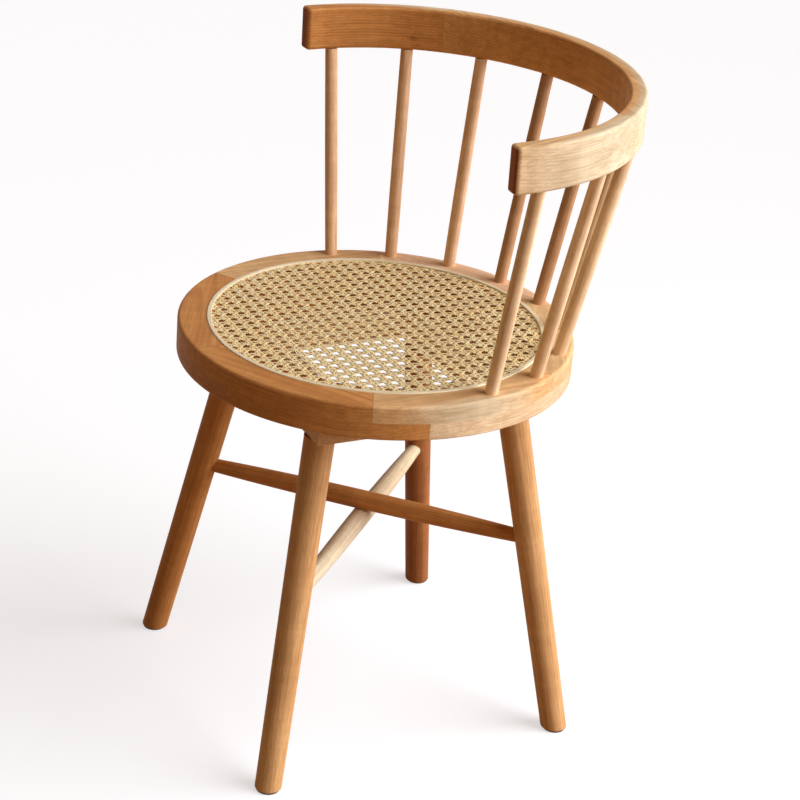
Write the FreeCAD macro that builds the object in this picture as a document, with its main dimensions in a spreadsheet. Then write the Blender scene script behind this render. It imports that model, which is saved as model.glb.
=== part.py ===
import FreeCAD, Part
import math
import os
import Sketcher
from FreeCAD import Placement, Rotation, Vector

# Driving dimensions. Lengths are in millimetres, names ending in _deg are degrees.
SIZES = {
    # Seat ring, two glued layers of six boards each
    "seat_height": 450.0,
    "ring_radius": 215.0,
    "board_thickness": 18.8,
    "upper_rim_width": 44.0,
    "ring_top_round": 3.6,
    "ring_bottom_round": 2.0,
    "boards_per_layer": 6,
    "upper_joint_deg": -26.4,
    "lower_joint_deg": -10.5,
    # Cane webbing and the spline that wedges it into its groove
    "spline_rim_distance": 31.0,
    "spline_width": 5.4,
    "spline_depth": 8.0,
    "spline_proud": 1.2,
    "spline_round": 1.2,
    "cane_thickness": 1.8,
    "cane_pitch": 14.0,
    "cane_gap_width": 6.9,
    "cane_margin": 2.0,
    # Back spindles
    "spindle_count": 9,
    "spindle_rim_distance": 13.4,
    "spindle_step_deg": 20.0,
    "spindle_diameter": 14.4,
    "spindle_end_diameter": 13.8,
    "spindle_tenon_diameter": 9.6,
    "spindle_seat_tenon": 15.0,
    "spindle_rail_tenon": 20.0,
    # Horseshoe rail, three sawn arcs
    "rail_underside": 683.4,
    "rail_height": 48.0,
    "rail_thickness": 18.4,
    "rail_back_radius": 250.5,
    "rail_side_tuck": 24.5,
    "rail_junction_deg": 51.0,
    "rail_end_deg": 2.6,
    "rail_tilt_deg": 1.2,
    "rail_edge_round": 3.6,
    "rail_end_round": 5.0,
    "rail_spindle_step_deg": 20.22,
    "rail_dowel_diameter": 8.0,
    "rail_dowel_length": 36.0,
    # Square frame under the ring
    "frame_side_margin": 30.5,
    "frame_end_margin": 18.5,
    "frame_bar_width": 45.0,
    "frame_thickness": 28.0,
    # Legs
    "leg_spread": 68.1,
    "leg_top_diameter": 33.3,
    "leg_foot_diameter": 29.0,
    "leg_tenon_diameter": 24.0,
    "leg_tenon_length": 25.0,
    "leg_foot_round": 1.5,
    # Crossed stretchers
    "stretcher_height": 232.0,
    "stretcher_diameter": 22.0,
    "stretcher_end_diameter": 15.0,
    "stretcher_socket_depth": 12.0,
    "stretcher_lap_depth": 1.0,
    # Wood screws
    "screw_diameter": 4.5,
    "screw_head_diameter": 8.6,
    "screw_length": 38.0,
    "screw_point_length": 5.0,
    "screw_recess": 0.8,
    "screw_slot_width": 1.2,
    "screw_slot_depth": 1.6,
    "screw_corner_distance": 55.0,
    "screw_face_distance": 14.0,
    "stretcher_screw_length": 33.0,
    # Nail-on glides under the legs
    "glide_diameter": 26.0,
    "glide_thickness": 2.0,
    "glide_round": 0.8,
    "glide_pin_diameter": 2.6,
    "glide_pin_length": 14.0,
    # Clearances and overruns
    "joint_clearance": 0.1,
    "socket_end_gap": 0.5,
    "cut_overrun": 6.0,
}

# Inner radius of the ring's lower layer, as a share of the ring's radius
LOWER_INNER_SHARE = 0.6047
# Distance of a leg's top from the seat's axis, along X and along Y, as a share of the ring's radius
LEG_TOP_SHARE = 0.5047
# Heights of the dowels in the rail's joints, as shares of the rail's height
DOWEL_HEIGHT_SHARES = (0.3, 0.7)
# Reach of a screw's cross slot, as a share of the head's diameter
SLOT_REACH_SHARE = 0.5

SHEET = "Sizes"

doc = FreeCAD.newDocument("chair")
sheet = doc.addObject("Spreadsheet::Sheet", SHEET)
sub_parts = []


class Length:
    """A size with the sheet formula that gives it."""

    def __init__(self, value, formula):
        self.value = float(value)
        self.formula = formula

    def __float__(self):
        return self.value

    def __add__(self, other):
        return Length(self.value + other.value, f"({self.formula} + {other.formula})")

    def __sub__(self, other):
        return Length(self.value - other.value, f"({self.formula} - {other.formula})")

    def __mul__(self, factor):
        return Length(self.value * factor, f"({self.formula} * {factor})")

    def __truediv__(self, factor):
        return Length(self.value / factor, f"({self.formula} / {factor})")


def fill_sheet():
    """Writes every driving dimension into the sheet under its own alias."""
    for row, (alias, value) in enumerate(SIZES.items(), start=1):
        sheet.set(f"A{row}", alias)
        sheet.set(f"B{row}", str(value))
        sheet.setAlias(f"B{row}", alias)
    doc.recompute()


def size(name):
    """The named driving dimension."""
    return Length(SIZES[name], f"{SHEET}.{name}")


NOTHING = Length(0, "0")


def bind(item, **lengths):
    """Ties properties of an object to sheet formulas."""
    for name, length in lengths.items():
        item.setExpression(name, length.formula)


def origin_plane(body, role):
    """The body's own origin plane with this role."""
    for feature in body.Origin.OriginFeatures:
        if feature.Role == role:
            return feature
    raise ValueError(f"no plane {role}")


def new_sketch(body, role, name):
    """An empty sketch on one of the body's origin planes."""
    sketch = body.newObject("Sketcher::SketchObject", name)
    sketch.AttachmentSupport = [(origin_plane(body, role), "")]
    sketch.MapMode = "FlatFace"
    return sketch


def tie_point(sketch, line, end, across, along, name):
    """Holds one end of a line at two sheet lengths from the sketch's axes."""
    for kind, axis, length, tag in (("DistanceX", -2, across, "across"), ("DistanceY", -1, along, "along")):
        if float(length) == 0:
            sketch.addConstraint(Sketcher.Constraint("PointOnObject", line, end, axis))
            continue
        index = sketch.addConstraint(Sketcher.Constraint(kind, line, end, float(length)))
        sketch.renameConstraint(index, f"{name}_{tag}")
        sketch.setExpression(f"Constraints.{name}_{tag}", length.formula)


def draw_outline(sketch, corners):
    """Straight lines through the corners, each corner held by the sheet."""
    points = [Vector(float(across), float(along), 0) for across, along in corners]
    count = len(points)
    for index in range(count):
        sketch.addGeometry(Part.LineSegment(points[index], points[(index + 1) % count]), False)
    for index, (across, along) in enumerate(corners):
        sketch.addConstraint(Sketcher.Constraint("Coincident", (index - 1) % count, 2, index, 1))
        tie_point(sketch, index, 1, across, along, f"corner{index}")


def turned_body(name, corners, angle=None):
    """A body turned from an outline about its own Z axis, whole or as a symmetric slice."""
    body = doc.addObject("PartDesign::Body", name)
    sketch = new_sketch(body, "XZ_Plane", f"{name}_outline")
    draw_outline(sketch, corners)
    turn = body.newObject("PartDesign::Revolution", f"{name}_turn")
    turn.Profile = sketch
    turn.ReferenceAxis = (sketch, ["V_Axis"])
    turn.Midplane = True
    if angle is None:
        turn.Angle = 360.0
    else:
        bind(turn, Angle=angle)
    body.Tip = turn
    doc.recompute()
    return body


def round_body(body, name, edges, radius):
    """Rounds the picked edges of a body's last feature."""
    base = body.Tip
    names = [f"Edge{number}" for number, edge in enumerate(base.Shape.Edges, start=1) if edges(edge)]
    rounding = body.newObject("PartDesign::Fillet", name)
    rounding.Base = (base, names)
    bind(rounding, Radius=radius)
    body.Tip = rounding
    doc.recompute()


def swelled_body(name, end_radius, middle_radius, length):
    """A rod turned about Z from 0 to its length, its side one arc that swells to the middle."""
    body = doc.addObject("PartDesign::Body", name)
    sketch = new_sketch(body, "XZ_Plane", f"{name}_outline")
    swell = middle_radius - end_radius
    half = length / 2
    arc_radius = (float(half) ** 2 + float(swell) ** 2) / (2 * float(swell))
    foot = Vector(float(end_radius), 0, 0)
    head = Vector(float(end_radius), float(length), 0)
    arc = Part.Arc(foot, Vector(float(middle_radius), float(half), 0), head)
    sketch.addGeometry(Part.LineSegment(Vector(0, 0, 0), foot), False)
    sketch.addGeometry(arc, False)
    sketch.addGeometry(Part.LineSegment(head, Vector(0, float(length), 0)), False)
    sketch.addGeometry(Part.LineSegment(Vector(0, float(length), 0), Vector(0, 0, 0)), False)
    sketch.addConstraint(Sketcher.Constraint("Coincident", 0, 2, 1, 1))
    sketch.addConstraint(Sketcher.Constraint("Coincident", 1, 2, 2, 1))
    sketch.addConstraint(Sketcher.Constraint("Coincident", 2, 2, 3, 1))
    sketch.addConstraint(Sketcher.Constraint("Coincident", 3, 2, 0, 1))
    tie_point(sketch, 0, 1, NOTHING, NOTHING, "centre")
    tie_point(sketch, 0, 2, end_radius, NOTHING, "foot")
    tie_point(sketch, 2, 1, end_radius, length, "head")
    tie_point(sketch, 3, 1, NOTHING, length, "top")
    index = sketch.addConstraint(Sketcher.Constraint("Radius", 1, arc_radius))
    sketch.renameConstraint(index, "side_radius")
    sketch.setExpression("Constraints.side_radius",
                         f"({half.formula} * {half.formula} + {swell.formula} * {swell.formula})"
                         f" / (2 * {swell.formula})")
    turn = body.newObject("PartDesign::Revolution", f"{name}_turn")
    turn.Profile = sketch
    turn.ReferenceAxis = (sketch, ["V_Axis"])
    turn.Angle = 360.0
    body.Tip = turn
    doc.recompute()
    return body


def along(direction):
    """The rotation that stands Z on a direction."""
    return Rotation(Vector(0, 0, 1), direction)


def peg(name, radius, start, direction, length):
    """A cylinder from a start point along a direction."""
    item = doc.addObject("Part::Cylinder", name)
    bind(item, Radius=radius, Height=length)
    item.Placement = Placement(start, along(direction))
    return item


def block(name, length, width, height, corner, frame=None):
    """A box with its low corner at a point of a frame."""
    item = doc.addObject("Part::Box", name)
    bind(item, Length=length, Width=width, Height=height)
    item.Placement = (frame or Placement()).multiply(Placement(corner, Rotation()))
    return item


def gather(name, items):
    """Several tools as one compound."""
    bundle = doc.addObject("Part::Compound", name)
    bundle.Links = items
    return bundle


def cut(name, base, tools):
    """The base less all the tools."""
    item = doc.addObject("Part::Cut", name)
    item.Base = base
    item.Tool = tools[0] if len(tools) == 1 else gather(f"{name}_tools", tools)
    return item


def fuse(name, base, other):
    """Two shapes joined into one solid."""
    item = doc.addObject("Part::Fuse", name)
    item.Base = base
    item.Tool = other
    item.Refine = True
    return item


def finish(item, label):
    """Registers a finished sub-part under its own name."""
    item.Label = label
    sub_parts.append(item)


fill_sheet()

# Heights and places that follow from the sizes
CLEAR = size("joint_clearance")
OVERRUN = size("cut_overrun")
UPPER_INNER = size("ring_radius") - size("upper_rim_width")
LOWER_INNER = size("ring_radius") * LOWER_INNER_SHARE
SPLINE_OUTER = size("ring_radius") - size("spline_rim_distance")
SPLINE_INNER = SPLINE_OUTER - size("spline_width")
SPINDLE_CIRCLE = size("ring_radius") - size("spindle_rim_distance")
LEG_TOP = size("ring_radius") * LEG_TOP_SHARE
LEG_FOOT = LEG_TOP + size("leg_spread")
FRAME_HALF_LENGTH = LEG_TOP + size("frame_side_margin")
FRAME_HALF_DEPTH = LEG_TOP + size("frame_end_margin")
RING_BOTTOM = size("seat_height") - size("board_thickness") * 2
LAYER_JOINT = size("seat_height") - size("board_thickness")
FRAME_BOTTOM = RING_BOTTOM - size("frame_thickness")
RAIL_SIDE_RADIUS = size("rail_back_radius") - size("rail_side_tuck")
RAIL_REAR = size("rail_back_radius") + size("rail_thickness") / 2
TILT = math.radians(SIZES["rail_tilt_deg"])
JUNCTION = math.radians(SIZES["rail_junction_deg"])
SIDE_CENTRE_X = SIZES["rail_side_tuck"] * math.sin(JUNCTION)
SIDE_CENTRE_Y = SIZES["rail_side_tuck"] * math.cos(JUNCTION)
SPINDLE_TRAVEL = SIZES["rail_back_radius"] * math.radians(SIZES["rail_spindle_step_deg"])

# The origin is on the floor under the middle of the plan, so the seat's axis lies in front of it
SEAT_Y = -(float(RAIL_REAR) * math.cos(TILT) - float(size("ring_radius"))) / 2
RAIL_FRAME = Placement(Vector(0, SEAT_Y, float(size("rail_underside"))),
                       Rotation(Vector(1, 0, 0), SIZES["rail_tilt_deg"]))


def on_seat(radius, angle_deg, height):
    """A point at a polar place about the seat's axis."""
    angle = math.radians(angle_deg)
    return Vector(radius * math.cos(angle), SEAT_Y + radius * math.sin(angle), height)


def in_slice(point, middle_deg, slice_deg):
    """Whether a point lies in a slice of the ring."""
    angle = math.degrees(math.atan2(point.y - SEAT_Y, point.x))
    return abs((angle - middle_deg + 180) % 360 - 180) < slice_deg / 2


def rail_line(arc_length):
    """The rail's middle line in its own frame: the point and the outward direction."""
    back = float(size("rail_back_radius"))
    side = float(RAIL_SIDE_RADIUS)
    hand = 1 if arc_length >= 0 else -1
    travel = abs(arc_length)
    if travel <= back * JUNCTION:
        angle = travel / back
        outward = Vector(hand * math.sin(angle), math.cos(angle), 0)
        return outward * back, outward
    angle = JUNCTION + (travel - back * JUNCTION) / side
    outward = Vector(hand * math.sin(angle), math.cos(angle), 0)
    centre = Vector(hand * SIDE_CENTRE_X, SIDE_CENTRE_Y, 0)
    return centre + outward * side, outward


class Spindle:
    """One back spindle's axis, from the seat's top face to the rail's underside."""

    def __init__(self, index):
        middle = (SIZES["spindle_count"] - 1) / 2
        step = middle - index
        self.index = index
        self.foot = on_seat(float(SPINDLE_CIRCLE), 90 - step * SIZES["spindle_step_deg"], SIZES["seat_height"])
        line_point, outward = rail_line(step * SPINDLE_TRAVEL)
        lean = SIZES["spindle_rail_tenon"] / 2 * self.splay(line_point, outward)
        self.head = RAIL_FRAME.multVec(line_point - outward * lean)
        self.direction = (self.head - self.foot).normalize()
        self.length = (self.head - self.foot).Length

    def splay(self, line_point, outward):
        """How far the axis moves outward for each unit that it rises."""
        head = RAIL_FRAME.multVec(line_point)
        run = head - self.foot
        return (run.x * outward.x + run.y * outward.y) / run.z


class Leg:
    """One splayed leg's axis, from the floor to the ring's underside."""

    def __init__(self, end, side, across, forward):
        self.name = f"{end}_{side}"
        self.across = across
        self.forward = forward
        self.foot = self.at(0)
        self.direction = (self.at(float(RING_BOTTOM)) - self.foot).normalize()

    def at(self, height):
        """The point of the axis at a height."""
        spread = self.offset(height)
        return Vector(self.across * spread, SEAT_Y + self.forward * spread, height)

    def offset(self, height):
        """How far the axis is from the seat's axis, along X and along Y."""
        share = height / float(RING_BOTTOM)
        return float(LEG_FOOT) * (1 - share) + float(LEG_TOP) * share

    def radius(self, height):
        """The leg's radius at a height."""
        share = height / float(RING_BOTTOM)
        return (SIZES["leg_foot_diameter"] * (1 - share) + SIZES["leg_top_diameter"] * share) / 2


SPINDLES = [Spindle(index) for index in range(SIZES["spindle_count"])]
LEGS = [Leg("front", "left", 1, -1), Leg("rear", "left", 1, 1),
        Leg("rear", "right", -1, 1), Leg("front", "right", -1, -1)]
FRAME_SCREWS = []
for hand in (1, -1):
    for side in (1, -1):
        near = float(FRAME_HALF_LENGTH - size("screw_corner_distance"))
        edge = float(FRAME_HALF_DEPTH - size("screw_face_distance"))
        FRAME_SCREWS.append(Vector(hand * near, SEAT_Y + side * edge, float(FRAME_BOTTOM)))
        near = float(FRAME_HALF_DEPTH - size("screw_corner_distance"))
        edge = float(FRAME_HALF_LENGTH - size("screw_face_distance"))
        FRAME_SCREWS.append(Vector(hand * edge, SEAT_Y + side * near, float(FRAME_BOTTOM)))


def upper_board_outline():
    """The upper layer's section, with the spline's groove and the lip under the cane."""
    inner = UPPER_INNER
    outer = size("ring_radius")
    groove_out = SPLINE_OUTER + CLEAR
    groove_in = SPLINE_INNER - CLEAR
    top = size("board_thickness")
    lip = top - size("cane_thickness")
    floor = top - size("spline_depth")
    return [(inner, NOTHING), (outer, NOTHING), (outer, top), (groove_out, top), (groove_out, floor),
            (groove_in, floor), (groove_in, lip), (inner, lip)]


def lower_board_outline():
    """The lower layer's plain section."""
    inner = LOWER_INNER
    outer = size("ring_radius")
    top = size("board_thickness")
    return [(inner, NOTHING), (outer, NOTHING), (outer, top), (inner, top)]


def outer_rim(height):
    """Picks the rim edge at a height on the ring's outside."""
    outside = SIZES["ring_radius"]

    def wanted(edge):
        middle = edge.valueAt((edge.FirstParameter + edge.LastParameter) / 2)
        box = edge.BoundBox
        flat = box.ZLength < float(CLEAR)
        return flat and abs(math.hypot(middle.x, middle.y) - outside) < float(CLEAR) \
            and abs(middle.z - height) < float(CLEAR)
    return wanted


def ring_boards():
    """Both layers of the seat ring, with sockets for the spindles and pilots for the screws."""
    count = SIZES["boards_per_layer"]
    slice_deg = 360.0 / count
    slice_angle = Length(slice_deg, f"(360 / {SHEET}.boards_per_layer)")
    for number in range(count):
        name = f"seat_ring_upper_{number + 1}"
        middle = SIZES["upper_joint_deg"] + (number + 0.5) * slice_deg
        board = turned_body(f"{name}_board", upper_board_outline(), slice_angle)
        round_body(board, f"{name}_round", outer_rim(SIZES["board_thickness"]), size("ring_top_round"))
        board.Placement = Placement(Vector(0, SEAT_Y, float(LAYER_JOINT)), Rotation(Vector(0, 0, 1), middle))
        sockets = [spindle_socket(name, spindle) for spindle in SPINDLES
                   if in_slice(spindle.foot, middle, slice_deg)]
        finish(cut(name, board, sockets) if sockets else board, name)
    for number in range(count):
        name = f"seat_ring_lower_{number + 1}"
        middle = SIZES["lower_joint_deg"] + (number + 0.5) * slice_deg
        board = turned_body(f"{name}_board", lower_board_outline(), slice_angle)
        round_body(board, f"{name}_round", outer_rim(0), size("ring_bottom_round"))
        board.Placement = Placement(Vector(0, SEAT_Y, float(RING_BOTTOM)), Rotation(Vector(0, 0, 1), middle))
        pilots = [screw_pilot(name, place) for place in FRAME_SCREWS if in_slice(place, middle, slice_deg)]
        finish(cut(name, board, pilots) if pilots else board, name)


def spindle_socket(name, spindle):
    """The hole in the ring's top face for one spindle's lower tenon."""
    depth = size("spindle_seat_tenon") + size("socket_end_gap")
    start = spindle.foot - spindle.direction * float(depth)
    radius = size("spindle_tenon_diameter") / 2 + CLEAR
    return peg(f"{name}_socket_{spindle.index + 1}", radius, start, spindle.direction, depth + OVERRUN)


def screw_pilot(name, place):
    """The hole for one frame screw, clear of its thread, from below the frame to past its point."""
    depth = size("screw_length") + size("screw_recess") + size("socket_end_gap")
    radius = size("screw_diameter") / 2 + CLEAR
    start = place - Vector(0, 0, float(OVERRUN))
    return peg(f"{name}_pilot", radius, start, Vector(0, 0, 1), depth + OVERRUN)


def cane_gap_centres():
    """Every second opening of the weave that lies over the ring's clear hole."""
    pitch = SIZES["cane_pitch"]
    reach = float(UPPER_INNER - size("cane_margin") - size("cane_gap_width") / 2)
    steps = int(reach / pitch) + 1
    centres = []
    for column in range(-steps, steps + 1):
        for row in range(-steps, steps + 1):
            x = (column + 0.5) * pitch
            y = (row + 0.5) * pitch
            if (column + row) % 2 == 0 and math.hypot(x, y) < reach:
                centres.append(Vector(x, y, 0))
    return centres


def octagon(centre, width):
    """A closed eight-sided wire with a width across flats."""
    corner = width / 2 / math.cos(math.pi / 8)
    points = []
    for number in range(8):
        angle = math.pi / 8 + number * math.pi / 4
        points.append(centre + Vector(corner * math.cos(angle), corner * math.sin(angle), 0))
    return Part.makePolygon(points + points[:1])


def cane_panel():
    """The cane webbing as one holed sheet that lies on the ring's lip inside the spline."""
    radius = float(SPLINE_INNER - CLEAR * 2)
    rim = Part.Wire(Part.makeCircle(radius))
    gaps = [octagon(centre, SIZES["cane_gap_width"]) for centre in cane_gap_centres()]
    face = Part.makeFace([rim] + gaps, "Part::FaceMakerBullseye")
    panel = doc.addObject("Part::Feature", "cane_panel")
    panel.Shape = face.extrude(Vector(0, 0, SIZES["cane_thickness"]))
    panel.Placement = Placement(Vector(0, SEAT_Y, float(size("seat_height") - size("cane_thickness"))), Rotation())
    finish(panel, "cane_panel")


def cane_spline():
    """The round spline, standing a little proud of the ring's top face."""
    height = size("spline_depth") + size("spline_proud")
    outline = [(SPLINE_INNER, NOTHING), (SPLINE_OUTER, NOTHING), (SPLINE_OUTER, height), (SPLINE_INNER, height)]
    body = turned_body("cane_spline_body", outline)
    top = float(height)
    round_body(body, "cane_spline_round", lambda edge: edge.BoundBox.ZMin > top - float(CLEAR),
               size("spline_round"))
    body.Placement = Placement(Vector(0, SEAT_Y, float(size("seat_height") - size("spline_depth"))), Rotation())
    finish(body, "cane_spline")


def back_spindles():
    """The turned spindles: shoulders flush with the ring and the rail, a tenon at each end."""
    reach = size("ring_radius") * 2
    corner = Vector(-float(reach), SEAT_Y - float(reach), float(size("seat_height") - OVERRUN))
    below = block("seat_trim", reach * 2, reach * 2, OVERRUN, corner)
    corner = Vector(-float(reach), -float(reach), 0)
    above = block("rail_trim", reach * 2, reach * 2, OVERRUN, corner, RAIL_FRAME)
    trims = gather("spindle_trims", [below, above])
    shoulder = OVERRUN / 2
    for spindle in SPINDLES:
        name = f"spindle_{spindle.index + 1}"
        length = Length(spindle.length, str(spindle.length)) + OVERRUN
        rod = swelled_body(f"{name}_rod", size("spindle_end_diameter") / 2, size("spindle_diameter") / 2, length)
        rod.Placement = Placement(spindle.foot - spindle.direction * float(shoulder), along(spindle.direction))
        shaft = cut(f"{name}_shaft", rod, [trims])
        core_length = size("spindle_seat_tenon") + size("spindle_rail_tenon")
        start = spindle.foot - spindle.direction * SIZES["spindle_seat_tenon"]
        core = peg(f"{name}_core", size("spindle_tenon_diameter") / 2, start, spindle.direction,
                   Length(spindle.length, str(spindle.length)) + core_length)
        finish(fuse(name, shaft, core), name)


def rail_socket(name, spindle):
    """The hole in the rail's underside for one spindle's upper tenon."""
    radius = size("spindle_tenon_diameter") / 2 + CLEAR
    start = spindle.head - spindle.direction * float(OVERRUN)
    depth = size("spindle_rail_tenon") + size("socket_end_gap")
    return peg(f"{name}_socket_{spindle.index + 1}", radius, start, spindle.direction, depth + OVERRUN)


def dowel_axes(hand):
    """The middle points and the direction of the two dowels across one joint of the rail."""
    travel = hand * float(size("rail_back_radius")) * JUNCTION
    point, outward = rail_line(travel)
    direction = Vector(-outward.y, outward.x, 0)
    heights = [SIZES["rail_height"] * share for share in DOWEL_HEIGHT_SHARES]
    return [(point + Vector(0, 0, height), direction) for height in heights]


def dowel_pegs(name, radius, length):
    """Pegs on all dowel axes, centred on the joints."""
    pegs = []
    for hand in (1, -1):
        for middle, direction in dowel_axes(hand):
            start = RAIL_FRAME.multVec(middle - direction * (float(length) / 2))
            turned = RAIL_FRAME.Rotation.multVec(direction)
            pegs.append(peg(f"{name}_{len(pegs) + 1}", radius, start, turned, length))
    return pegs


def rail_arc(name, radius, sweep):
    """An arc of the rail about its own centre, symmetric about X."""
    inner = radius - size("rail_thickness") / 2
    outer = radius + size("rail_thickness") / 2
    height = size("rail_height")
    return turned_body(name, [(inner, NOTHING), (outer, NOTHING), (outer, height), (inner, height)], sweep)


def is_long(edge):
    """Whether an edge runs along the rail."""
    return edge.BoundBox.ZLength < float(CLEAR) and edge.Length > SIZES["rail_thickness"] * 2


def rail_segments():
    """The three sawn arcs of the horseshoe rail."""
    bores = dowel_pegs("dowel_bore", size("rail_dowel_diameter") / 2 + CLEAR,
                       size("rail_dowel_length") + size("socket_end_gap") * 2)
    bundle = gather("dowel_bores", bores)
    junction = size("rail_junction_deg")
    right_angle = Length(90, "90")
    ends = size("rail_end_deg")
    centre = rail_arc("rail_centre_arc", size("rail_back_radius"), junction * 2)
    round_body(centre, "rail_centre_round", is_long, size("rail_edge_round"))
    centre.Placement = RAIL_FRAME.multiply(Placement(Vector(), Rotation(Vector(0, 0, 1), 90)))
    finish_rail("back_rail_centre", centre, bundle, lambda step: abs(step) < JUNCTION)
    for side, hand in (("left", 1), ("right", -1)):
        name = f"back_rail_{side}_arm"
        arm = rail_arc(f"{name}_arc", RAIL_SIDE_RADIUS, right_angle - junction + ends)
        sweep = 90 - SIZES["rail_junction_deg"] + SIZES["rail_end_deg"]
        free_end = -hand * sweep / 2
        round_arm(arm, name, free_end)
        middle = sweep / 2 - SIZES["rail_end_deg"]
        turned = middle if hand > 0 else 180 - middle
        place = Placement(Vector(hand * SIDE_CENTRE_X, SIDE_CENTRE_Y, 0), Rotation(Vector(0, 0, 1), turned))
        arm.Placement = RAIL_FRAME.multiply(place)
        finish_rail(name, arm, bundle, lambda step, hand=hand: step * hand > JUNCTION)


def round_arm(arm, name, free_end_deg):
    """Rounds an arm's free end first, then the edges that run round it and along the arm."""
    def at_free_end(point):
        angle = math.degrees(math.atan2(point.y, point.x))
        return abs(angle - free_end_deg) < SIZES["rail_end_deg"]

    def end_upright(edge):
        middle = edge.valueAt((edge.FirstParameter + edge.LastParameter) / 2)
        return edge.BoundBox.ZLength > SIZES["rail_height"] / 2 and at_free_end(middle)

    round_body(arm, f"{name}_end_round", end_upright, size("rail_end_round"))
    joint_deg = -free_end_deg

    def not_at_joint(edge):
        middle = edge.valueAt((edge.FirstParameter + edge.LastParameter) / 2)
        angle = math.degrees(math.atan2(middle.y, middle.x))
        flat = edge.BoundBox.ZLength < float(CLEAR)
        return flat and abs(angle - joint_deg) > SIZES["rail_end_deg"] / 2

    round_body(arm, f"{name}_edge_round", not_at_joint, size("rail_edge_round"))


def finish_rail(name, body, bores, holds):
    """Cuts the dowel bores and the spindle sockets that fall in one arc of the rail."""
    tools = [bores]
    middle = (SIZES["spindle_count"] - 1) / 2
    for spindle in SPINDLES:
        travel = (middle - spindle.index) * SPINDLE_TRAVEL
        if holds(travel / SIZES["rail_back_radius"]):
            tools.append(rail_socket(name, spindle))
    finish(cut(name, body, tools), name)


def rail_dowels():
    """The four hidden dowels across the rail's joints."""
    pegs = dowel_pegs("dowel", size("rail_dowel_diameter") / 2, size("rail_dowel_length"))
    finish(gather("rail_dowels", pegs), "rail_dowels")


def leg_tenon_tool(name, leg, clearance):
    """A leg's tenon, or the bore for it, through the frame."""
    start = leg.at(float(FRAME_BOTTOM)) - leg.direction * float(OVERRUN)
    radius = size("leg_tenon_diameter") / 2 + clearance
    length = size("leg_tenon_length") + OVERRUN
    if float(clearance) > 0:
        length = length + OVERRUN * 2
    return peg(name, radius, start, leg.direction, length)


def screw_seat(name, place):
    """The countersunk hole through a bar of the frame for one screw."""
    head = doc.addObject("Part::Cone", f"{name}_sink")
    top = size("screw_diameter") / 2 + CLEAR
    bottom = size("screw_head_diameter") / 2 + CLEAR
    bind(head, Radius1=bottom, Radius2=top, Height=bottom - top)
    head.Placement = Placement(place + Vector(0, 0, SIZES["screw_recess"]), Rotation())
    mouth = peg(f"{name}_mouth", bottom, place - Vector(0, 0, float(OVERRUN)), Vector(0, 0, 1),
                OVERRUN + size("screw_recess"))
    return [head, mouth, screw_pilot(name, place)]


def frame_bars():
    """The square frame of four bars, lapped half and half at the corners."""
    half_x = FRAME_HALF_LENGTH
    half_y = FRAME_HALF_DEPTH
    width = size("frame_bar_width")
    thickness = size("frame_thickness")
    bores = [leg_tenon_tool(f"bore_{leg.name}", leg, CLEAR) for leg in LEGS]
    seats = []
    for number, place in enumerate(FRAME_SCREWS, start=1):
        seats += screw_seat(f"frame_screw_seat_{number}", place)
    holes = gather("frame_holes", bores + seats)
    z = float(FRAME_BOTTOM)
    mid = float(FRAME_BOTTOM + thickness / 2)
    for end, hand in (("front", -1), ("rear", 1)):
        name = f"frame_{end}_bar"
        y = SEAT_Y + hand * float(half_y) - (float(width) if hand > 0 else 0)
        bar = block(f"{name}_blank", half_x * 2, width, thickness, Vector(-float(half_x), y, z))
        laps = [block(f"{name}_lap_{side}", width, width, thickness / 2, Vector(x, y, mid))
                for side, x in (("right", -float(half_x)), ("left", float(half_x - width)))]
        finish(cut(name, bar, laps + [holes]), name)
    for side, hand in (("left", 1), ("right", -1)):
        name = f"frame_{side}_bar"
        x = hand * float(half_x) - (float(width) if hand > 0 else 0)
        bar = block(f"{name}_blank", width, half_y * 2, thickness, Vector(x, SEAT_Y - float(half_y), z))
        laps = [block(f"{name}_lap_{end}", width, width, thickness / 2, Vector(x, y, z))
                for end, y in (("front", SEAT_Y - float(half_y)), ("rear", SEAT_Y + float(half_y - width)))]
        finish(cut(name, bar, laps + [holes]), name)


def screw_body(name, length):
    """A countersunk wood screw that stands on its head, with its point upward."""
    shank = size("screw_diameter") / 2
    head = size("screw_head_diameter") / 2
    neck = head - shank
    body = turned_body(name, [(NOTHING, NOTHING), (head, NOTHING), (shank, neck),
                              (shank, length - size("screw_point_length")), (NOTHING, length)])
    return body


def screw(name, place, length):
    """A screw with a cross slot in its head."""
    body = screw_body(f"{name}_body", length)
    body.Placement = Placement(place, Rotation())
    reach = size("screw_head_diameter") * SLOT_REACH_SHARE
    width = size("screw_slot_width")
    depth = size("screw_slot_depth")
    slots = []
    for number, (across, forward) in enumerate(((reach, width), (width, reach)), start=1):
        corner = place - Vector(float(across) / 2, float(forward) / 2, float(depth))
        slots.append(block(f"{name}_slot_{number}", across, forward, depth * 2, corner))
    return cut(name, body, slots)


def frame_screws():
    """The eight screws that hold the frame to the ring, in one group."""
    recess = Vector(0, 0, SIZES["screw_recess"])
    screws = [screw(f"frame_screw_{number}", place + recess, size("screw_length"))
              for number, place in enumerate(FRAME_SCREWS, start=1)]
    finish(gather("frame_screws", screws), "frame_screws")


def stretcher_levels():
    """The upper and lower stretchers with their heights and the two legs that each joins."""
    upper = size("stretcher_height")
    lower = upper - size("stretcher_diameter") + size("stretcher_lap_depth") * 2
    return [("upper", upper, (LEGS[3], LEGS[1])), ("lower", lower, (LEGS[0], LEGS[2]))]


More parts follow.
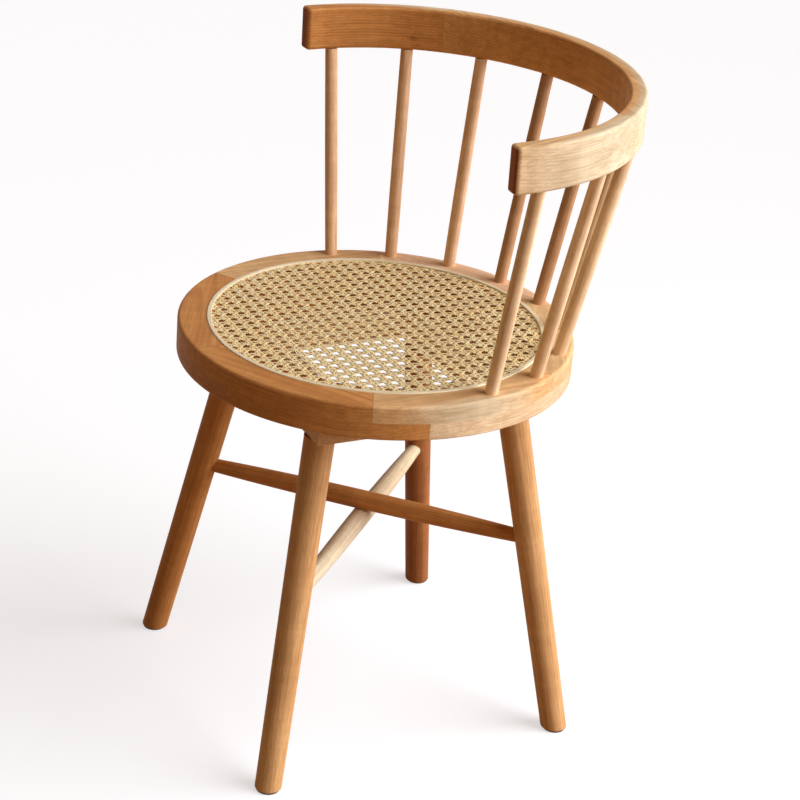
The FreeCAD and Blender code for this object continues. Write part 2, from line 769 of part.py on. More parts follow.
def stretcher_end(leg, height):
    """How far from the seat's axis a stretcher's end lies inside its socket."""
    distance = leg.offset(height) * math.sqrt(2)
    lean = math.sqrt(leg.direction.x ** 2 + leg.direction.y ** 2)
    surface = leg.radius(height) / math.sqrt(1 - lean ** 2)
    return distance - surface + SIZES["stretcher_socket_depth"]


def lap_half_width():
    """Half the width of the flat where the stretchers lie on each other."""
    radius = SIZES["stretcher_diameter"] / 2
    flat = radius - SIZES["stretcher_lap_depth"]
    return math.sqrt(radius ** 2 - flat ** 2) + float(CLEAR)


def stretchers():
    """The two cigar-shaped stretchers, crossed in the middle and let into each other."""
    for level, height, (first, second) in stretcher_levels():
        name = f"stretcher_{level}"
        z = float(height)
        reach = stretcher_end(first, z)
        length = Length(reach * 2, str(reach * 2))
        rod = swelled_body(f"{name}_rod", size("stretcher_end_diameter") / 2, size("stretcher_diameter") / 2, length)
        direction = (second.at(z) - first.at(z)).normalize()
        middle = Vector(0, SEAT_Y, z)
        rod.Placement = Placement(middle - direction * reach, along(direction))
        half = lap_half_width()
        side = Vector(-direction.y, direction.x, 0)
        frame = Placement(middle, Rotation(direction, side, Vector(0, 0, 1), "XYZ"))
        sign = -1 if level == "upper" else 1
        flat = SIZES["stretcher_diameter"] / 2 - SIZES["stretcher_lap_depth"]
        base = flat if sign > 0 else -flat - float(OVERRUN)
        half_length = Length(half, str(half))
        corner = Vector(-half, -SIZES["stretcher_diameter"], base)
        notch = block(f"{name}_notch", half_length * 2, size("stretcher_diameter") * 2, OVERRUN, corner, frame)
        tools = [notch] + stretcher_screw_seat(name)
        finish(cut(name, rod, tools), name)


def stretcher_screw_place():
    """Where the screw under the crossing has its head."""
    _, height, _ = stretcher_levels()[1]
    bottom = float(height - size("stretcher_diameter") / 2)
    return Vector(0, SEAT_Y, bottom)


def stretcher_screw_seat(name):
    """The countersunk hole up through the crossing."""
    place = stretcher_screw_place()
    head = doc.addObject("Part::Cone", f"{name}_sink")
    top = size("screw_diameter") / 2 + CLEAR
    bottom = size("screw_head_diameter") / 2 + CLEAR
    bind(head, Radius1=bottom, Radius2=top, Height=bottom - top)
    recess = size("screw_recess") + size("stretcher_lap_depth")
    head.Placement = Placement(place + Vector(0, 0, float(recess)), Rotation())
    start = place - Vector(0, 0, float(OVERRUN))
    mouth = peg(f"{name}_mouth", bottom, start, Vector(0, 0, 1), OVERRUN + recess)
    depth = size("stretcher_screw_length") + recess + size("socket_end_gap")
    pilot = peg(f"{name}_pilot", top, start, Vector(0, 0, 1), depth + OVERRUN)
    return [head, mouth, pilot]


def stretcher_screw():
    """The screw that holds the lower stretcher up against the upper one."""
    recess = Vector(0, 0, float(size("screw_recess") + size("stretcher_lap_depth")))
    item = screw("stretcher_screw", stretcher_screw_place() + recess, size("stretcher_screw_length"))
    finish(item, "stretcher_screw")


def stretcher_bore(leg):
    """The blind hole in a leg for its stretcher's end."""
    for _, height, pair in stretcher_levels():
        if leg in pair:
            z = float(height)
            end = stretcher_end(leg, z) + SIZES["socket_end_gap"]
            outward = Vector(leg.across, leg.forward, 0).normalize()
            middle = Vector(0, SEAT_Y, z)
            depth = size("stretcher_socket_depth") + size("socket_end_gap") + OVERRUN
            radius = size("stretcher_end_diameter") / 2 + CLEAR
            return peg(f"{leg.name}_stretcher_bore", radius, middle + outward * end, outward * -1, depth)
    raise ValueError(f"no stretcher at {leg.name}")


def legs():
    """The four splayed, tapered legs, with a tenon into the frame and a rounded foot."""
    reach = LEG_FOOT * 2
    below = size("leg_foot_diameter")
    corner = Vector(-float(reach), SEAT_Y - float(reach), -float(below))
    floor = block("floor_trim", reach * 2, reach * 2, below + size("glide_thickness"), corner)
    corner = Vector(-float(reach), SEAT_Y - float(reach), float(FRAME_BOTTOM))
    frame = block("frame_trim", reach * 2, reach * 2, size("frame_thickness") * 2, corner)
    trims = gather("leg_trims", [floor, frame])
    for leg in LEGS:
        name = f"leg_{leg.name}"
        run = (leg.at(float(RING_BOTTOM)) - leg.foot).Length
        length = Length(run, str(run)) + OVERRUN
        shaft = turned_body(f"{name}_shaft", [(NOTHING, NOTHING), (size("leg_foot_diameter") / 2, NOTHING),
                                              (size("leg_top_diameter") / 2, length), (NOTHING, length)])
        shaft.Placement = Placement(leg.foot - leg.direction * float(OVERRUN), along(leg.direction))
        trimmed = cut(f"{name}_trimmed", shaft, [trims])
        tenon = leg_tenon_tool(f"{name}_tenon", leg, NOTHING)
        joined = fuse(f"{name}_joined", trimmed, tenon)
        hole = peg(f"{name}_pin_hole", size("glide_pin_diameter") / 2 + CLEAR, leg.at(0), Vector(0, 0, 1),
                   size("glide_thickness") + size("glide_pin_length") + size("socket_end_gap"))
        bored = cut(f"{name}_bored", joined, [stretcher_bore(leg), hole])
        doc.recompute()
        rounding = doc.addObject("Part::Fillet", name)
        rounding.Base = bored
        rounding.Edges = foot_edges(bored.Shape)
        finish(rounding, name)


def foot_edges(shape):
    """The rim of a leg's foot, as edge number and two radii."""
    picked = []
    for number, edge in enumerate(shape.Edges, start=1):
        box = edge.BoundBox
        low = box.ZMax < SIZES["glide_thickness"] + float(CLEAR)
        if low and box.XLength > SIZES["leg_foot_diameter"] / 2:
            picked.append((number, SIZES["leg_foot_round"], SIZES["leg_foot_round"]))
    return picked


def foot_glides():
    """The nail-on glides: a disc on the floor and a pin up into the leg."""
    disc = size("glide_diameter") / 2
    pin = size("glide_pin_diameter") / 2
    thickness = size("glide_thickness")
    top = thickness + size("glide_pin_length")
    for leg in LEGS:
        name = f"glide_{leg.name}"
        body = turned_body(f"{name}_body", [(NOTHING, NOTHING), (disc, NOTHING), (disc, thickness),
                                            (pin, thickness), (pin, top), (NOTHING, top)])
        round_body(body, f"{name}_round",
                   lambda edge: edge.BoundBox.ZMax < float(CLEAR) and edge.Length > SIZES["glide_diameter"],
                   size("glide_round"))
        body.Placement = Placement(leg.at(0), Rotation())
        finish(body, name)


def check_and_export():
    """Stops on any failed object, then writes one STEP file for each sub-part."""
    doc.recompute()
    for item in doc.Objects:
        if "Invalid" in item.State or "Error" in item.State:
            raise RuntimeError(f"{item.Label} failed: {item.State}")
    os.makedirs("parts", exist_ok=True)
    for item in sub_parts:
        shape = item.Shape
        if shape.isNull() or not shape.isValid():
            raise RuntimeError(f"{item.Label} has no valid shape")
        shape.exportStep(f"parts/{item.Label}.step")
        print(item.Label, len(shape.Solids), round(shape.Volume))


ring_boards()
cane_panel()
cane_spline()
back_spindles()
rail_segments()
rail_dowels()
frame_bars()
frame_screws()
stretchers()
stretcher_screw()
legs()
foot_glides()
check_and_export()
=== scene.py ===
import logging
import math
from dataclasses import dataclass, field, replace
from enum import Enum

import bpy
import numpy as np
from mathutils import Matrix, Vector


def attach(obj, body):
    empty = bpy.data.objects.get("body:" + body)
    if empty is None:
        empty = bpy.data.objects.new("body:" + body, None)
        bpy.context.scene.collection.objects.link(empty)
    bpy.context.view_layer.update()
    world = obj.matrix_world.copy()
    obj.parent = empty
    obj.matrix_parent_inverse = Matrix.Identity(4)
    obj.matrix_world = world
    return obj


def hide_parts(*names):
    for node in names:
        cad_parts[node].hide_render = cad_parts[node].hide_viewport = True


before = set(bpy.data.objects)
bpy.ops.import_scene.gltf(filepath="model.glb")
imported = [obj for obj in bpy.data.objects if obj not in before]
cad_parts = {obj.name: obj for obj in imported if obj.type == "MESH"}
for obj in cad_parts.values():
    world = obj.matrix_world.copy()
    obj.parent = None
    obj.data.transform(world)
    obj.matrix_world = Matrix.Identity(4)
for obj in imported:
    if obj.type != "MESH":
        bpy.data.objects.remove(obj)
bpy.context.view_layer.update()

log = logging.getLogger("chair")

Socket = bpy.types.NodeSocket
Range = tuple[float, float]
Triple = tuple[float, float, float]
Value = Socket | float | tuple
Surface = dict[str, Socket | float]


def srgb(red: int, green: int, blue: int) -> Triple:
    """Turns a colour on the usual 0 to 255 scale into scene-linear light.

    Args:
        red: Red, 0 to 255.
        green: Green, 0 to 255.
        blue: Blue, 0 to 255.

    Returns:
        The linear colour: a straight toe below 0.04, and above it ((c + 0.055) / 1.055) to the power 2.4.
    """
    shares = [channel / 255 for channel in (red, green, blue)]
    return tuple(c / 12.92 if c < 0.04045 else ((c + 0.055) / 1.055) ** 2.4 for c in shares)


@dataclass(frozen=True)
class SeatPlace:
    """Where the seat's axis stands, and the heights and the radius that several pieces share, in metres."""

    y: float = -0.02232
    top: float = 0.450
    layer_joint: float = 0.4312
    spline_outer: float = 0.184


SEAT = SeatPlace()


def add(data: bpy.types.ID) -> bpy.types.Object:
    """Adds an object to the scene.

    Args:
        data: Its mesh, lamp or camera, which also gives its name.

    Returns:
        The new object.
    """
    made = bpy.data.objects.new(data.name, data)
    bpy.context.scene.collection.objects.link(made)
    return made


# Shader nodes

@dataclass(frozen=True)
class Noise:
    """Smooth noise: its waves to a metre, its finer layers and their strength, and a smooth step over it."""

    waves: Triple
    detail: float = 2.0
    roughness: float = 0.5
    over: Range = (0.25, 0.75)
    gives: Range = (0.0, 1.0)


class Graph:
    """A shader node tree, with short ways to add nodes and join them."""

    def __init__(self, tree: bpy.types.NodeTree) -> None:
        """Keeps the tree."""
        self.tree = tree

    def feed(self, target: Socket, value: Value) -> None:
        """Joins a socket to a target, or sets the target's own value.

        Args:
            target: The input socket.
            value: An output socket, a number, a vector or a colour.
        """
        if isinstance(value, Socket):
            self.tree.links.new(value, target)
        elif target.type == "RGBA" and len(value) == 3:
            target.default_value = (*value, 1.0)
        else:
            target.default_value = value

    def fill(self, node: bpy.types.Node, **values: Value) -> bpy.types.Node:
        """Feeds a node's inputs by their names.

        Args:
            node: The node.
            values: What feeds each input, with _ for each space in its name.

        Returns:
            The same node.
        """
        for name, value in values.items():
            self.feed(node.inputs[name.replace("_", " ")], value)
        return node

    def node(self, kind: str, *values: Value, **settings: object) -> bpy.types.Node:
        """Adds a node.

        Args:
            kind: The node's type.
            values: What feeds its first inputs, in their order.
            settings: Values of the node's own properties.

        Returns:
            The new node.
        """
        made = self.tree.nodes.new(kind)
        for name, value in settings.items():
            setattr(made, name, value)
        for target, value in zip(made.inputs, values):
            self.feed(target, value)
        return made

    def calc(self, operation: str, *values: Socket | float, clamp: bool = False) -> Socket:
        """The result of a Math node, kept from 0 to 1 where clamp is set."""
        return self.node("ShaderNodeMath", *values, operation=operation, use_clamp=clamp).outputs[0]

    def vector(self, operation: str, *values: Socket | tuple) -> Socket:
        """The result of a Vector Math node: a number for a dot product or a length, and else a vector."""
        made = self.node("ShaderNodeVectorMath", *values, operation=operation)
        return made.outputs["Value" if operation in ("DOT_PRODUCT", "LENGTH") else "Vector"]

    def times(self, first: Socket, second: Socket | float) -> Socket:
        """Two numbers multiplied."""
        return self.calc("MULTIPLY", first, second)

    def scale(self, vector: Socket, factor: Socket) -> Socket:
        """A vector or a colour times a number."""
        made = self.node("ShaderNodeVectorMath", vector, operation="SCALE")
        return self.fill(made, Scale=factor).outputs["Vector"]

    def split(self, vector: Socket) -> tuple[Socket, ...]:
        """The three parts of a vector."""
        return tuple(self.node("ShaderNodeSeparateXYZ", vector).outputs)

    def build(self, x: Socket | float, y: Socket | float, z: Socket | float) -> Socket:
        """A vector from three parts."""
        return self.node("ShaderNodeCombineXYZ", x, y, z).outputs[0]

    def here(self) -> Socket:
        """The object's own coordinates, in metres."""
        return self.node("ShaderNodeTexCoord").outputs["Object"]

    def noise(self, position: Socket, kind: Noise) -> Socket:
        """Noise at a position in metres, stretched along the axes: about 0 to 1, with its middle at 0.5."""
        made = self.node("ShaderNodeTexNoise", self.vector("MULTIPLY", position, kind.waves))
        return self.fill(made, Scale=1.0, Detail=kind.detail, Roughness=kind.roughness).outputs["Fac"]

    def sway(self, position: Socket, kind: Noise) -> Socket:
        """Noise about zero."""
        return self.calc("SUBTRACT", self.noise(position, kind), 0.5)

    def step(self, value: Socket, over: Range, gives: Range = (0.0, 1.0)) -> Socket:
        """A smooth step of a value over one range, which gives another and is held at both ends."""
        made = self.node("ShaderNodeMapRange", value, *over, *gives, interpolation_type="SMOOTHSTEP")
        return made.outputs[0]

    def patches(self, position: Socket, kind: Noise) -> Socket:
        """Noise with its own smooth step."""
        return self.step(self.noise(position, kind), kind.over, kind.gives)

    def mix(self, factor: Socket, first: Value, second: Value, blend: str = "MIX") -> Socket:
        """Mixes two colours.

        Args:
            factor: The second colour's share.
            first: The first colour.
            second: The second colour.
            blend: How they are mixed.

        Returns:
            The mixed colour.
        """
        made = self.node("ShaderNodeMix", factor, data_type="RGBA", blend_type=blend)
        self.feed(made.inputs[6], first)
        self.feed(made.inputs[7], second)
        return made.outputs[2]

    def bump(self, height: Socket, distance: float, strength: float) -> Socket:
        """The normal that a height gives, where a height of 1 is a distance in metres."""
        made = self.node("ShaderNodeBump")
        return self.fill(made, Strength=strength, Distance=distance, Height=height).outputs["Normal"]

    def place(self, group: bpy.types.NodeTree, **values: Value) -> bpy.types.NodeOutputs:
        """The outputs of a node group, fed by the names of its inputs in small letters, with _ for spaces."""
        made = self.node("ShaderNodeGroup", node_tree=group)
        return self.fill(made, **{name.title(): value for name, value in values.items()}).outputs


class GroupDraft(Graph):
    """A node group while it is made, with named inputs and outputs."""

    def __init__(self, name: str, inputs: dict[str, str], outputs: dict[str, str]) -> None:
        """Makes the group and its sockets.

        Args:
            name: The group's name.
            inputs: Each input's name and socket type.
            outputs: Each output's name and socket type.
        """
        super().__init__(bpy.data.node_groups.new(name, "ShaderNodeTree"))
        for way, sockets in (("INPUT", inputs), ("OUTPUT", outputs)):
            for title, kind in sockets.items():
                self.tree.interface.new_socket(title, in_out=way, socket_type=kind)
        self.given = self.node("NodeGroupInput").outputs
        self.result = self.node("NodeGroupOutput")

    def give(self, **values: Socket) -> bpy.types.NodeTree:
        """Feeds the group's outputs and hands the group over."""
        self.fill(self.result, **values)
        return self.tree


NUMBER, VECTOR, COLOUR = "NodeSocketFloat", "NodeSocketVector", "NodeSocketColor"
DOWN: Range = (1.0, 0.0)


# Effects that several finishes share

@dataclass(frozen=True)
class GrainLook:
    """The numbers of sawn wood: noises with its grain along X, steps over the way through a ring, shares."""

    slow: Noise = Noise((2.2, 13.0, 13.0))
    near: Noise = Noise((14.0, 60.0, 60.0))
    near_share: float = 0.12
    darkens: Range = (0.15, 0.92)
    ends: Range = (0.93, 1.0)
    year_waves: float = 0.37
    year: Noise = Noise((1.0, 1.0, 1.0), 1.0, over=(0.3, 0.7), gives=(0.35, 1.0))
    late_height: float = 0.2
    fibre: Noise = Noise((16.0, 620.0, 620.0), 3.0, 0.6, gives=(-0.09, 0.08))
    fibre_height: float = 0.35
    rough_over: Range = (0.2, 0.8)
    roughness: Range = (0.53, 0.66)
    streak: Noise = Noise((9.0, 210.0, 210.0), gives=(0.89, 1.08))
    cloud: Noise = Noise((7.0, 16.0, 16.0), gives=(0.90, 1.09))
    ripple: Noise = Noise((75.0, 9.0, 9.0), over=(0.3, 0.8), gives=(0.97, 1.07))
    green_power: float = 1.25
    blue_power: float = 1.6
    pore: Noise = Noise((70.0, 1300.0, 1300.0), 1.0, 0.4, over=(0.57, 0.72))
    spring_part: Range = (0.0, 0.55)
    pores_in_ring: Range = (1.0, 0.35)
    pore_roughness: float = 0.2
    pore_depth: float = 0.45


@dataclass(frozen=True)
class RattanLook:
    """The numbers of rattan: noises with its fibres along X, and how dense and wide the plant's nodes are."""

    lanes: float = 37.0
    fine: Noise = Noise((45.0, 3000.0, 1.0), 3.0, 0.6, gives=(-0.10, 0.08))
    broad: Noise = Noise((22.0, 260.0, 1.0), gives=(0.88, 1.08))
    nodes_to_metre: float = 5.3
    node_over: Range = (0.0, 0.012)


class Effects:
    """The node groups that several finishes share, each made once, with the numbers of the small ones."""

    glue_over: Range = (0.35, 1.0)
    # The noise of the pale outer wood, which is partly sapwood and partly a painted highlight
    sap_noise: Noise = Noise((6.0, 6.0, 40.0))
    sap_wander: float = 0.006
    knot_squeeze: Triple = (1.0, 1.0, 1.6)
    knot_noise: Noise = Noise((400.0, 400.0, 900.0))
    knot_heart: tuple[Range, Range] = ((0.7, 1.6), (0.8, 0.0))
    knot_halo: tuple[Range, Range] = ((1.0, 4.0), (0.45, 0.0))

    def __init__(self) -> None:
        """Builds the groups."""
        self.grain = self.make_grain(GrainLook())
        self.glue_line = self.make_glue_line()
        self.sapwood = self.make_sapwood()
        self.knot = self.make_knot()
        self.fibres = self.make_fibres(RattanLook())

    def make_grain(self, look: GrainLook) -> bpy.types.NodeTree:
        """Sawn wood, with its grain along X.

        The year rings are cylinders about a far pith: ring number = (distance from the X axis + slow noise)
        / gap, and each ring darkens smoothly on the way through it. Long thin noise gives fibres and open
        pores. What darkens the wood also warms it: green and blue are scaled by higher powers of the shade.

        Args:
            look: Its numbers.

        Returns:
            The group: a colour, a roughness and a height.
        """
        g = GroupDraft("Wood grain",
                       {"Position": VECTOR, "Ring Gap": NUMBER, "Wander": NUMBER, "Spring Wood": COLOUR,
                        "Late Wood": COLOUR, "Pore": COLOUR, "Figure": NUMBER, "Pores": NUMBER},
                       {"Colour": COLOUR, "Roughness": NUMBER, "Height": NUMBER})
        here = g.given["Position"]
        _, across, up = g.split(here)
        distance = g.vector("LENGTH", g.build(0.0, across, up))
        wander = g.calc("MULTIPLY_ADD", g.sway(here, look.near), look.near_share, g.sway(here, look.slow))
        bent = g.calc("MULTIPLY_ADD", wander, g.given["Wander"], distance)
        rings = g.calc("DIVIDE", bent, g.given["Ring Gap"])
        way = g.calc("FRACT", rings)
        late = g.times(g.step(way, look.darkens), g.step(way, look.ends, DOWN))
        years = g.build(g.times(rings, look.year_waves), 0.0, 0.0)
        late = g.times(late, g.patches(years, look.year))
        body = g.mix(g.times(late, g.given["Figure"]), g.given["Spring Wood"], g.given["Late Wood"])
        fibre = g.noise(here, look.fibre)
        shade = g.calc("ADD", g.patches(here, look.streak), g.step(fibre, look.fibre.over, look.fibre.gives))
        for kind in (look.cloud, look.ripple):
            shade = g.times(shade, g.patches(here, kind))
        green, blue = (g.calc("POWER", shade, power) for power in (look.green_power, look.blue_power))
        body = g.vector("MULTIPLY", body, g.build(shade, green, blue))
        pores = g.times(g.patches(here, look.pore), g.step(way, look.spring_part, look.pores_in_ring))
        pores = g.times(pores, g.given["Pores"])
        rough = g.step(fibre, look.rough_over, look.roughness)
        height = g.calc("MULTIPLY_ADD", fibre, look.fibre_height, g.times(late, look.late_height))
        return g.give(Colour=g.mix(pores, body, g.given["Pore"]),
                      Roughness=g.calc("ADD", rough, g.times(pores, look.pore_roughness)),
                      Height=g.calc("SUBTRACT", height, g.times(pores, look.pore_depth)))

    def make_glue_line(self) -> bpy.types.NodeTree:
        """A fine line where two pieces of wood are glued.

        The mask falls smoothly from 1 on a plane to 0 at a small distance from it, for two planes.

        Returns:
            The group: the mask.
        """
        g = GroupDraft("Glue line",
                       {"Position": VECTOR, "First Normal": VECTOR, "First Offset": NUMBER,
                        "Second Normal": VECTOR, "Second Offset": NUMBER, "Width": NUMBER},
                       {"Mask": NUMBER})
        masks = []
        for side in ("First", "Second"):
            along = g.vector("DOT_PRODUCT", g.given["Position"], g.given[f"{side} Normal"])
            apart = g.calc("ABSOLUTE", g.calc("SUBTRACT", along, g.given[f"{side} Offset"]))
            masks.append(g.step(g.calc("DIVIDE", apart, g.given["Width"]), self.glue_over, DOWN))
        return g.give(Mask=g.calc("MAXIMUM", *masks))

    def make_sapwood(self) -> bpy.types.NodeTree:
        """Pale outer wood of a plank, on the side away from the seat's axis: partly sapwood, partly a painted
        highlight.

        The mask rises smoothly over a range of the level distance from the axis, which slow noise makes
        uneven. The distance is along Outward, or all round where Outward is zero, and Taper times Y is added,
        which pales the wood towards the back, where the lamps stand: a painted highlight.

        Returns:
            The group: the mask.
        """
        g = GroupDraft("Sapwood", {"Position": VECTOR, "Outward": VECTOR, "Taper": NUMBER, "Inner": NUMBER,
                                   "Outer": NUMBER}, {"Mask": NUMBER})
        x, y, _ = g.split(g.vector("SUBTRACT", g.given["Position"], (0.0, SEAT.y, 0.0)))
        level = g.build(x, y, 0.0)
        all_round = g.calc("SUBTRACT", 1.0, g.vector("LENGTH", g.given["Outward"]), clamp=True)
        out = g.times(g.vector("LENGTH", level), all_round)
        out = g.calc("ADD", out, g.vector("DOT_PRODUCT", level, g.given["Outward"]))
        out = g.calc("MULTIPLY_ADD", y, g.given["Taper"], out)
        out = g.calc("MULTIPLY_ADD", g.sway(g.given["Position"], self.sap_noise), self.sap_wander, out)
        past, span = (g.calc("SUBTRACT", end, g.given["Inner"]) for end in (out, g.given["Outer"]))
        return g.give(Mask=g.step(g.calc("DIVIDE", past, span), (0.0, 1.0)))

    def make_knot(self) -> bpy.types.NodeTree:
        """A small knot: a dark heart with a soft halo, squeezed and roughened by noise.

        Returns:
            The group: the mask.
        """
        g = GroupDraft("Knot", {"Position": VECTOR, "Centre": VECTOR, "Radius": NUMBER}, {"Mask": NUMBER})
        here = g.given["Position"]
        apart = g.vector("MULTIPLY", g.vector("SUBTRACT", here, g.given["Centre"]), self.knot_squeeze)
        share = g.calc("DIVIDE", g.vector("LENGTH", apart), g.given["Radius"])
        share = g.calc("ADD", share, g.noise(here, self.knot_noise))
        masks = (g.step(share, *steps) for steps in (self.knot_heart, self.knot_halo))
        return g.give(Mask=g.calc("MAXIMUM", *masks))

    def make_fibres(self, look: RattanLook) -> bpy.types.NodeTree:
        """The split fibres of rattan, along the first part of the position and across the second.

        Fine noise, long along a strand and narrow across it, shades the colour and raises the surface, and
        rare dark rings mark the nodes of the plant.

        Args:
            look: Its numbers.

        Returns:
            The group: a shade to multiply by, a node mark and a height.
        """
        g = GroupDraft("Rattan fibres", {"Position": VECTOR, "Tone": NUMBER},
                       {"Shade": NUMBER, "Mark": NUMBER, "Height": NUMBER})
        along, across, _ = g.split(g.given["Position"])
        lane = g.times(g.given["Tone"], look.lanes)
        here = g.build(along, across, lane)
        fine = g.noise(here, look.fine)
        shade = g.calc("ADD", g.step(fine, look.fine.over, look.fine.gives), g.patches(here, look.broad))
        spot = g.calc("FRACT", g.calc("ADD", g.times(along, look.nodes_to_metre), lane))
        mark = g.step(g.calc("ABSOLUTE", g.calc("SUBTRACT", spot, 0.5)), look.node_over, DOWN)
        return g.give(Shade=shade, Mark=mark, Height=fine)


# Finishes

class Finish:
    """A finish: something that can make a material."""

    def material(self, name: str, effects: Effects) -> bpy.types.Material:
        """Makes a material with this finish.

        Args:
            name: The material's name.
            effects: The shared node groups.

        Returns:
            The material.
        """
        made = bpy.data.materials.new(name)
        made.use_nodes = True
        g = Graph(made.node_tree)
        g.fill(made.node_tree.nodes["Principled BSDF"], **self.surface(g, effects))
        return made

    def surface(self, g: Graph, effects: Effects) -> Surface:
        """What feeds the shader's inputs, which each finish works out in its own way."""
        raise NotImplementedError


@dataclass(frozen=True)
class Skin:
    """How fine noise shapes a face: the roughness that a range of it gives, and its relief in metres."""

    roughness: Range
    relief: float
    share: float
    over: Range = (0.2, 0.8)

    def surface(self, g: Graph, height: Socket) -> Surface:
        """The roughness and the normal where the noise is a height from 0 to 1."""
        normal = g.bump(height, self.relief, self.share)
        return {"Roughness": g.step(height, self.over, self.roughness), "Normal": normal}


@dataclass(frozen=True)
class Timber:
    """The three colours of one kind of board."""

    spring_wood: Triple
    late_wood: Triple
    pore: Triple


class Board(Enum):
    """The boards that the chair is sawn from."""

    HONEY = Timber(srgb(222, 172, 114), srgb(194, 134, 78), srgb(132, 80, 42))
    PALE = Timber(srgb(234, 194, 140), srgb(212, 162, 106), srgb(158, 108, 66))
    RUSSET = Timber(srgb(206, 144, 88), srgb(170, 106, 56), srgb(108, 58, 28))
    AMBER = Timber(srgb(212, 147, 81), srgb(183, 112, 55), srgb(116, 60, 28))
    GOLD = Timber(srgb(232, 172, 106), srgb(208, 140, 78), srgb(142, 86, 44))
    BLUSH = Timber(srgb(250, 207, 162), srgb(232, 181, 134), srgb(172, 122, 84))
    CREAM = Timber(srgb(235, 204, 160), srgb(216, 178, 128), srgb(184, 140, 96))
    STRAW = Timber(srgb(234, 188, 130), srgb(211, 156, 98), srgb(150, 100, 58))
    ROSE = Timber(srgb(254, 220, 174), srgb(240, 197, 147), srgb(187, 138, 95))
    # Painted shade: a darker board for spindles 5 and 6, which stand in the rail's shade
    COCOA = Timber(srgb(196, 150, 108), srgb(174, 128, 88), srgb(124, 84, 54))
    # Partly a painted highlight: a pale board for the lower stretcher, which stands in the light, and for the
    # pale outer wood
    IVORY = Timber(srgb(230, 212, 175), srgb(217, 193, 150), srgb(197, 160, 115))
    # Painted shade: a dark board for the rear leg, which stands in shade
    UMBER = Timber(srgb(172, 110, 62), srgb(140, 82, 40), srgb(88, 46, 22))


@dataclass(frozen=True)
class Figure:
    """How wood shows its year rings: their gap and wander in metres, and how strong rings and pores are."""

    ring_gap: float
    wander: float
    figure: float
    pores: float


class Cut(Enum):
    """The ways in which the pieces are cut from their boards."""

    RING = Figure(0.0036, 0.024, 0.55, 0.4)
    RAIL = Figure(0.0032, 0.016, 0.8, 0.45)
    FRAME = Figure(0.0032, 0.016, 0.55, 0.45)
    TURNED = Figure(0.0026, 0.010, 0.55, 0.55)


@dataclass(frozen=True)
class Joints:
    """Two glued faces of a piece, as plane normals and offsets, and their lines' width, in metres."""

    first_normal: Triple
    first_offset: float
    second_normal: Triple
    second_offset: float
    width: float = 0.0007


@dataclass(frozen=True)
class Sapwood:
    """Where the pale outer wood starts and is full, as distances from the seat's axis in metres. Its paleness
    is partly sapwood and partly a painted highlight.
    """

    inner: float
    outer: float
    outward: Triple = (0.0, 0.0, 0.0)
    taper: float = 0.0


@dataclass(frozen=True)
class Knot:
    """Where a knot is and how large, in metres."""

    centre: Triple
    radius: float = 0.0026


@dataclass(frozen=True)
class OiledWood(Finish):
    """Oiled solid wood with a satin face."""

    board: Board
    cut: Cut
    grain: Vector
    pith: Vector
    end_grain: Triple = srgb(170, 118, 62)
    end_over: Range = (0.80, 0.96)
    joints: Joints | None = None
    glue_share: float = 0.42
    glue_depth: float = 0.6
    sapwood: Sapwood | None = None
    knot: Knot | None = None
    relief: float = 0.00035
    relief_share: float = 0.6
    specular: float = 0.14

    def surface(self, g: Graph, effects: Effects) -> Surface:
        """Turns the grain along the piece, with its pith beside it, and adds what the piece has of its own.

        The fields of a figure, a timber, the pale outer wood, the joints and a knot have their groups' input
        names.

        Args:
            g: The material's graph.
            effects: The shared node groups.

        Returns:
            What feeds the shader's inputs.
        """
        where = g.here()
        rotation = self.grain.rotation_difference(Vector((1.0, 0.0, 0.0)))
        turned = g.fill(g.node("ShaderNodeMapping", where), Rotation=rotation.to_euler("XYZ"),
                        Location=-(rotation @ self.pith)).outputs[0]
        shades = vars(self.board.value)
        # Pales the wood towards the ivory board on its outside: partly sapwood, partly a painted highlight
        if self.sapwood is not None:
            pale = g.place(effects.sapwood, position=where, **vars(self.sapwood))["Mask"]
            ivory_highlight = vars(Board.IVORY.value)
            shades = {name: g.mix(pale, shade, ivory_highlight[name]) for name, shade in shades.items()}
        wood = g.place(effects.grain, position=turned, **shades, **vars(self.cut.value))
        height = wood["Height"]
        normal = g.node("ShaderNodeNewGeometry").outputs["Normal"]
        facing = g.calc("ABSOLUTE", g.vector("DOT_PRODUCT", normal, tuple(self.grain)))
        colour = g.mix(g.step(facing, self.end_over), wood["Colour"], self.end_grain, "MULTIPLY")
        if self.joints is not None:
            line = g.place(effects.glue_line, position=where, **vars(self.joints))["Mask"]
            colour = g.mix(g.times(line, self.glue_share), colour, self.board.value.pore)
            height = g.calc("SUBTRACT", height, g.times(line, self.glue_depth))
        if self.knot is not None:
            dark = g.place(effects.knot, position=where, **vars(self.knot))["Mask"]
            colour = g.mix(dark, colour, self.board.value.pore)
        return {"Base Color": colour, "Roughness": wood["Roughness"], "Specular IOR Level": self.specular,
                "Normal": g.bump(height, self.relief, self.relief_share)}


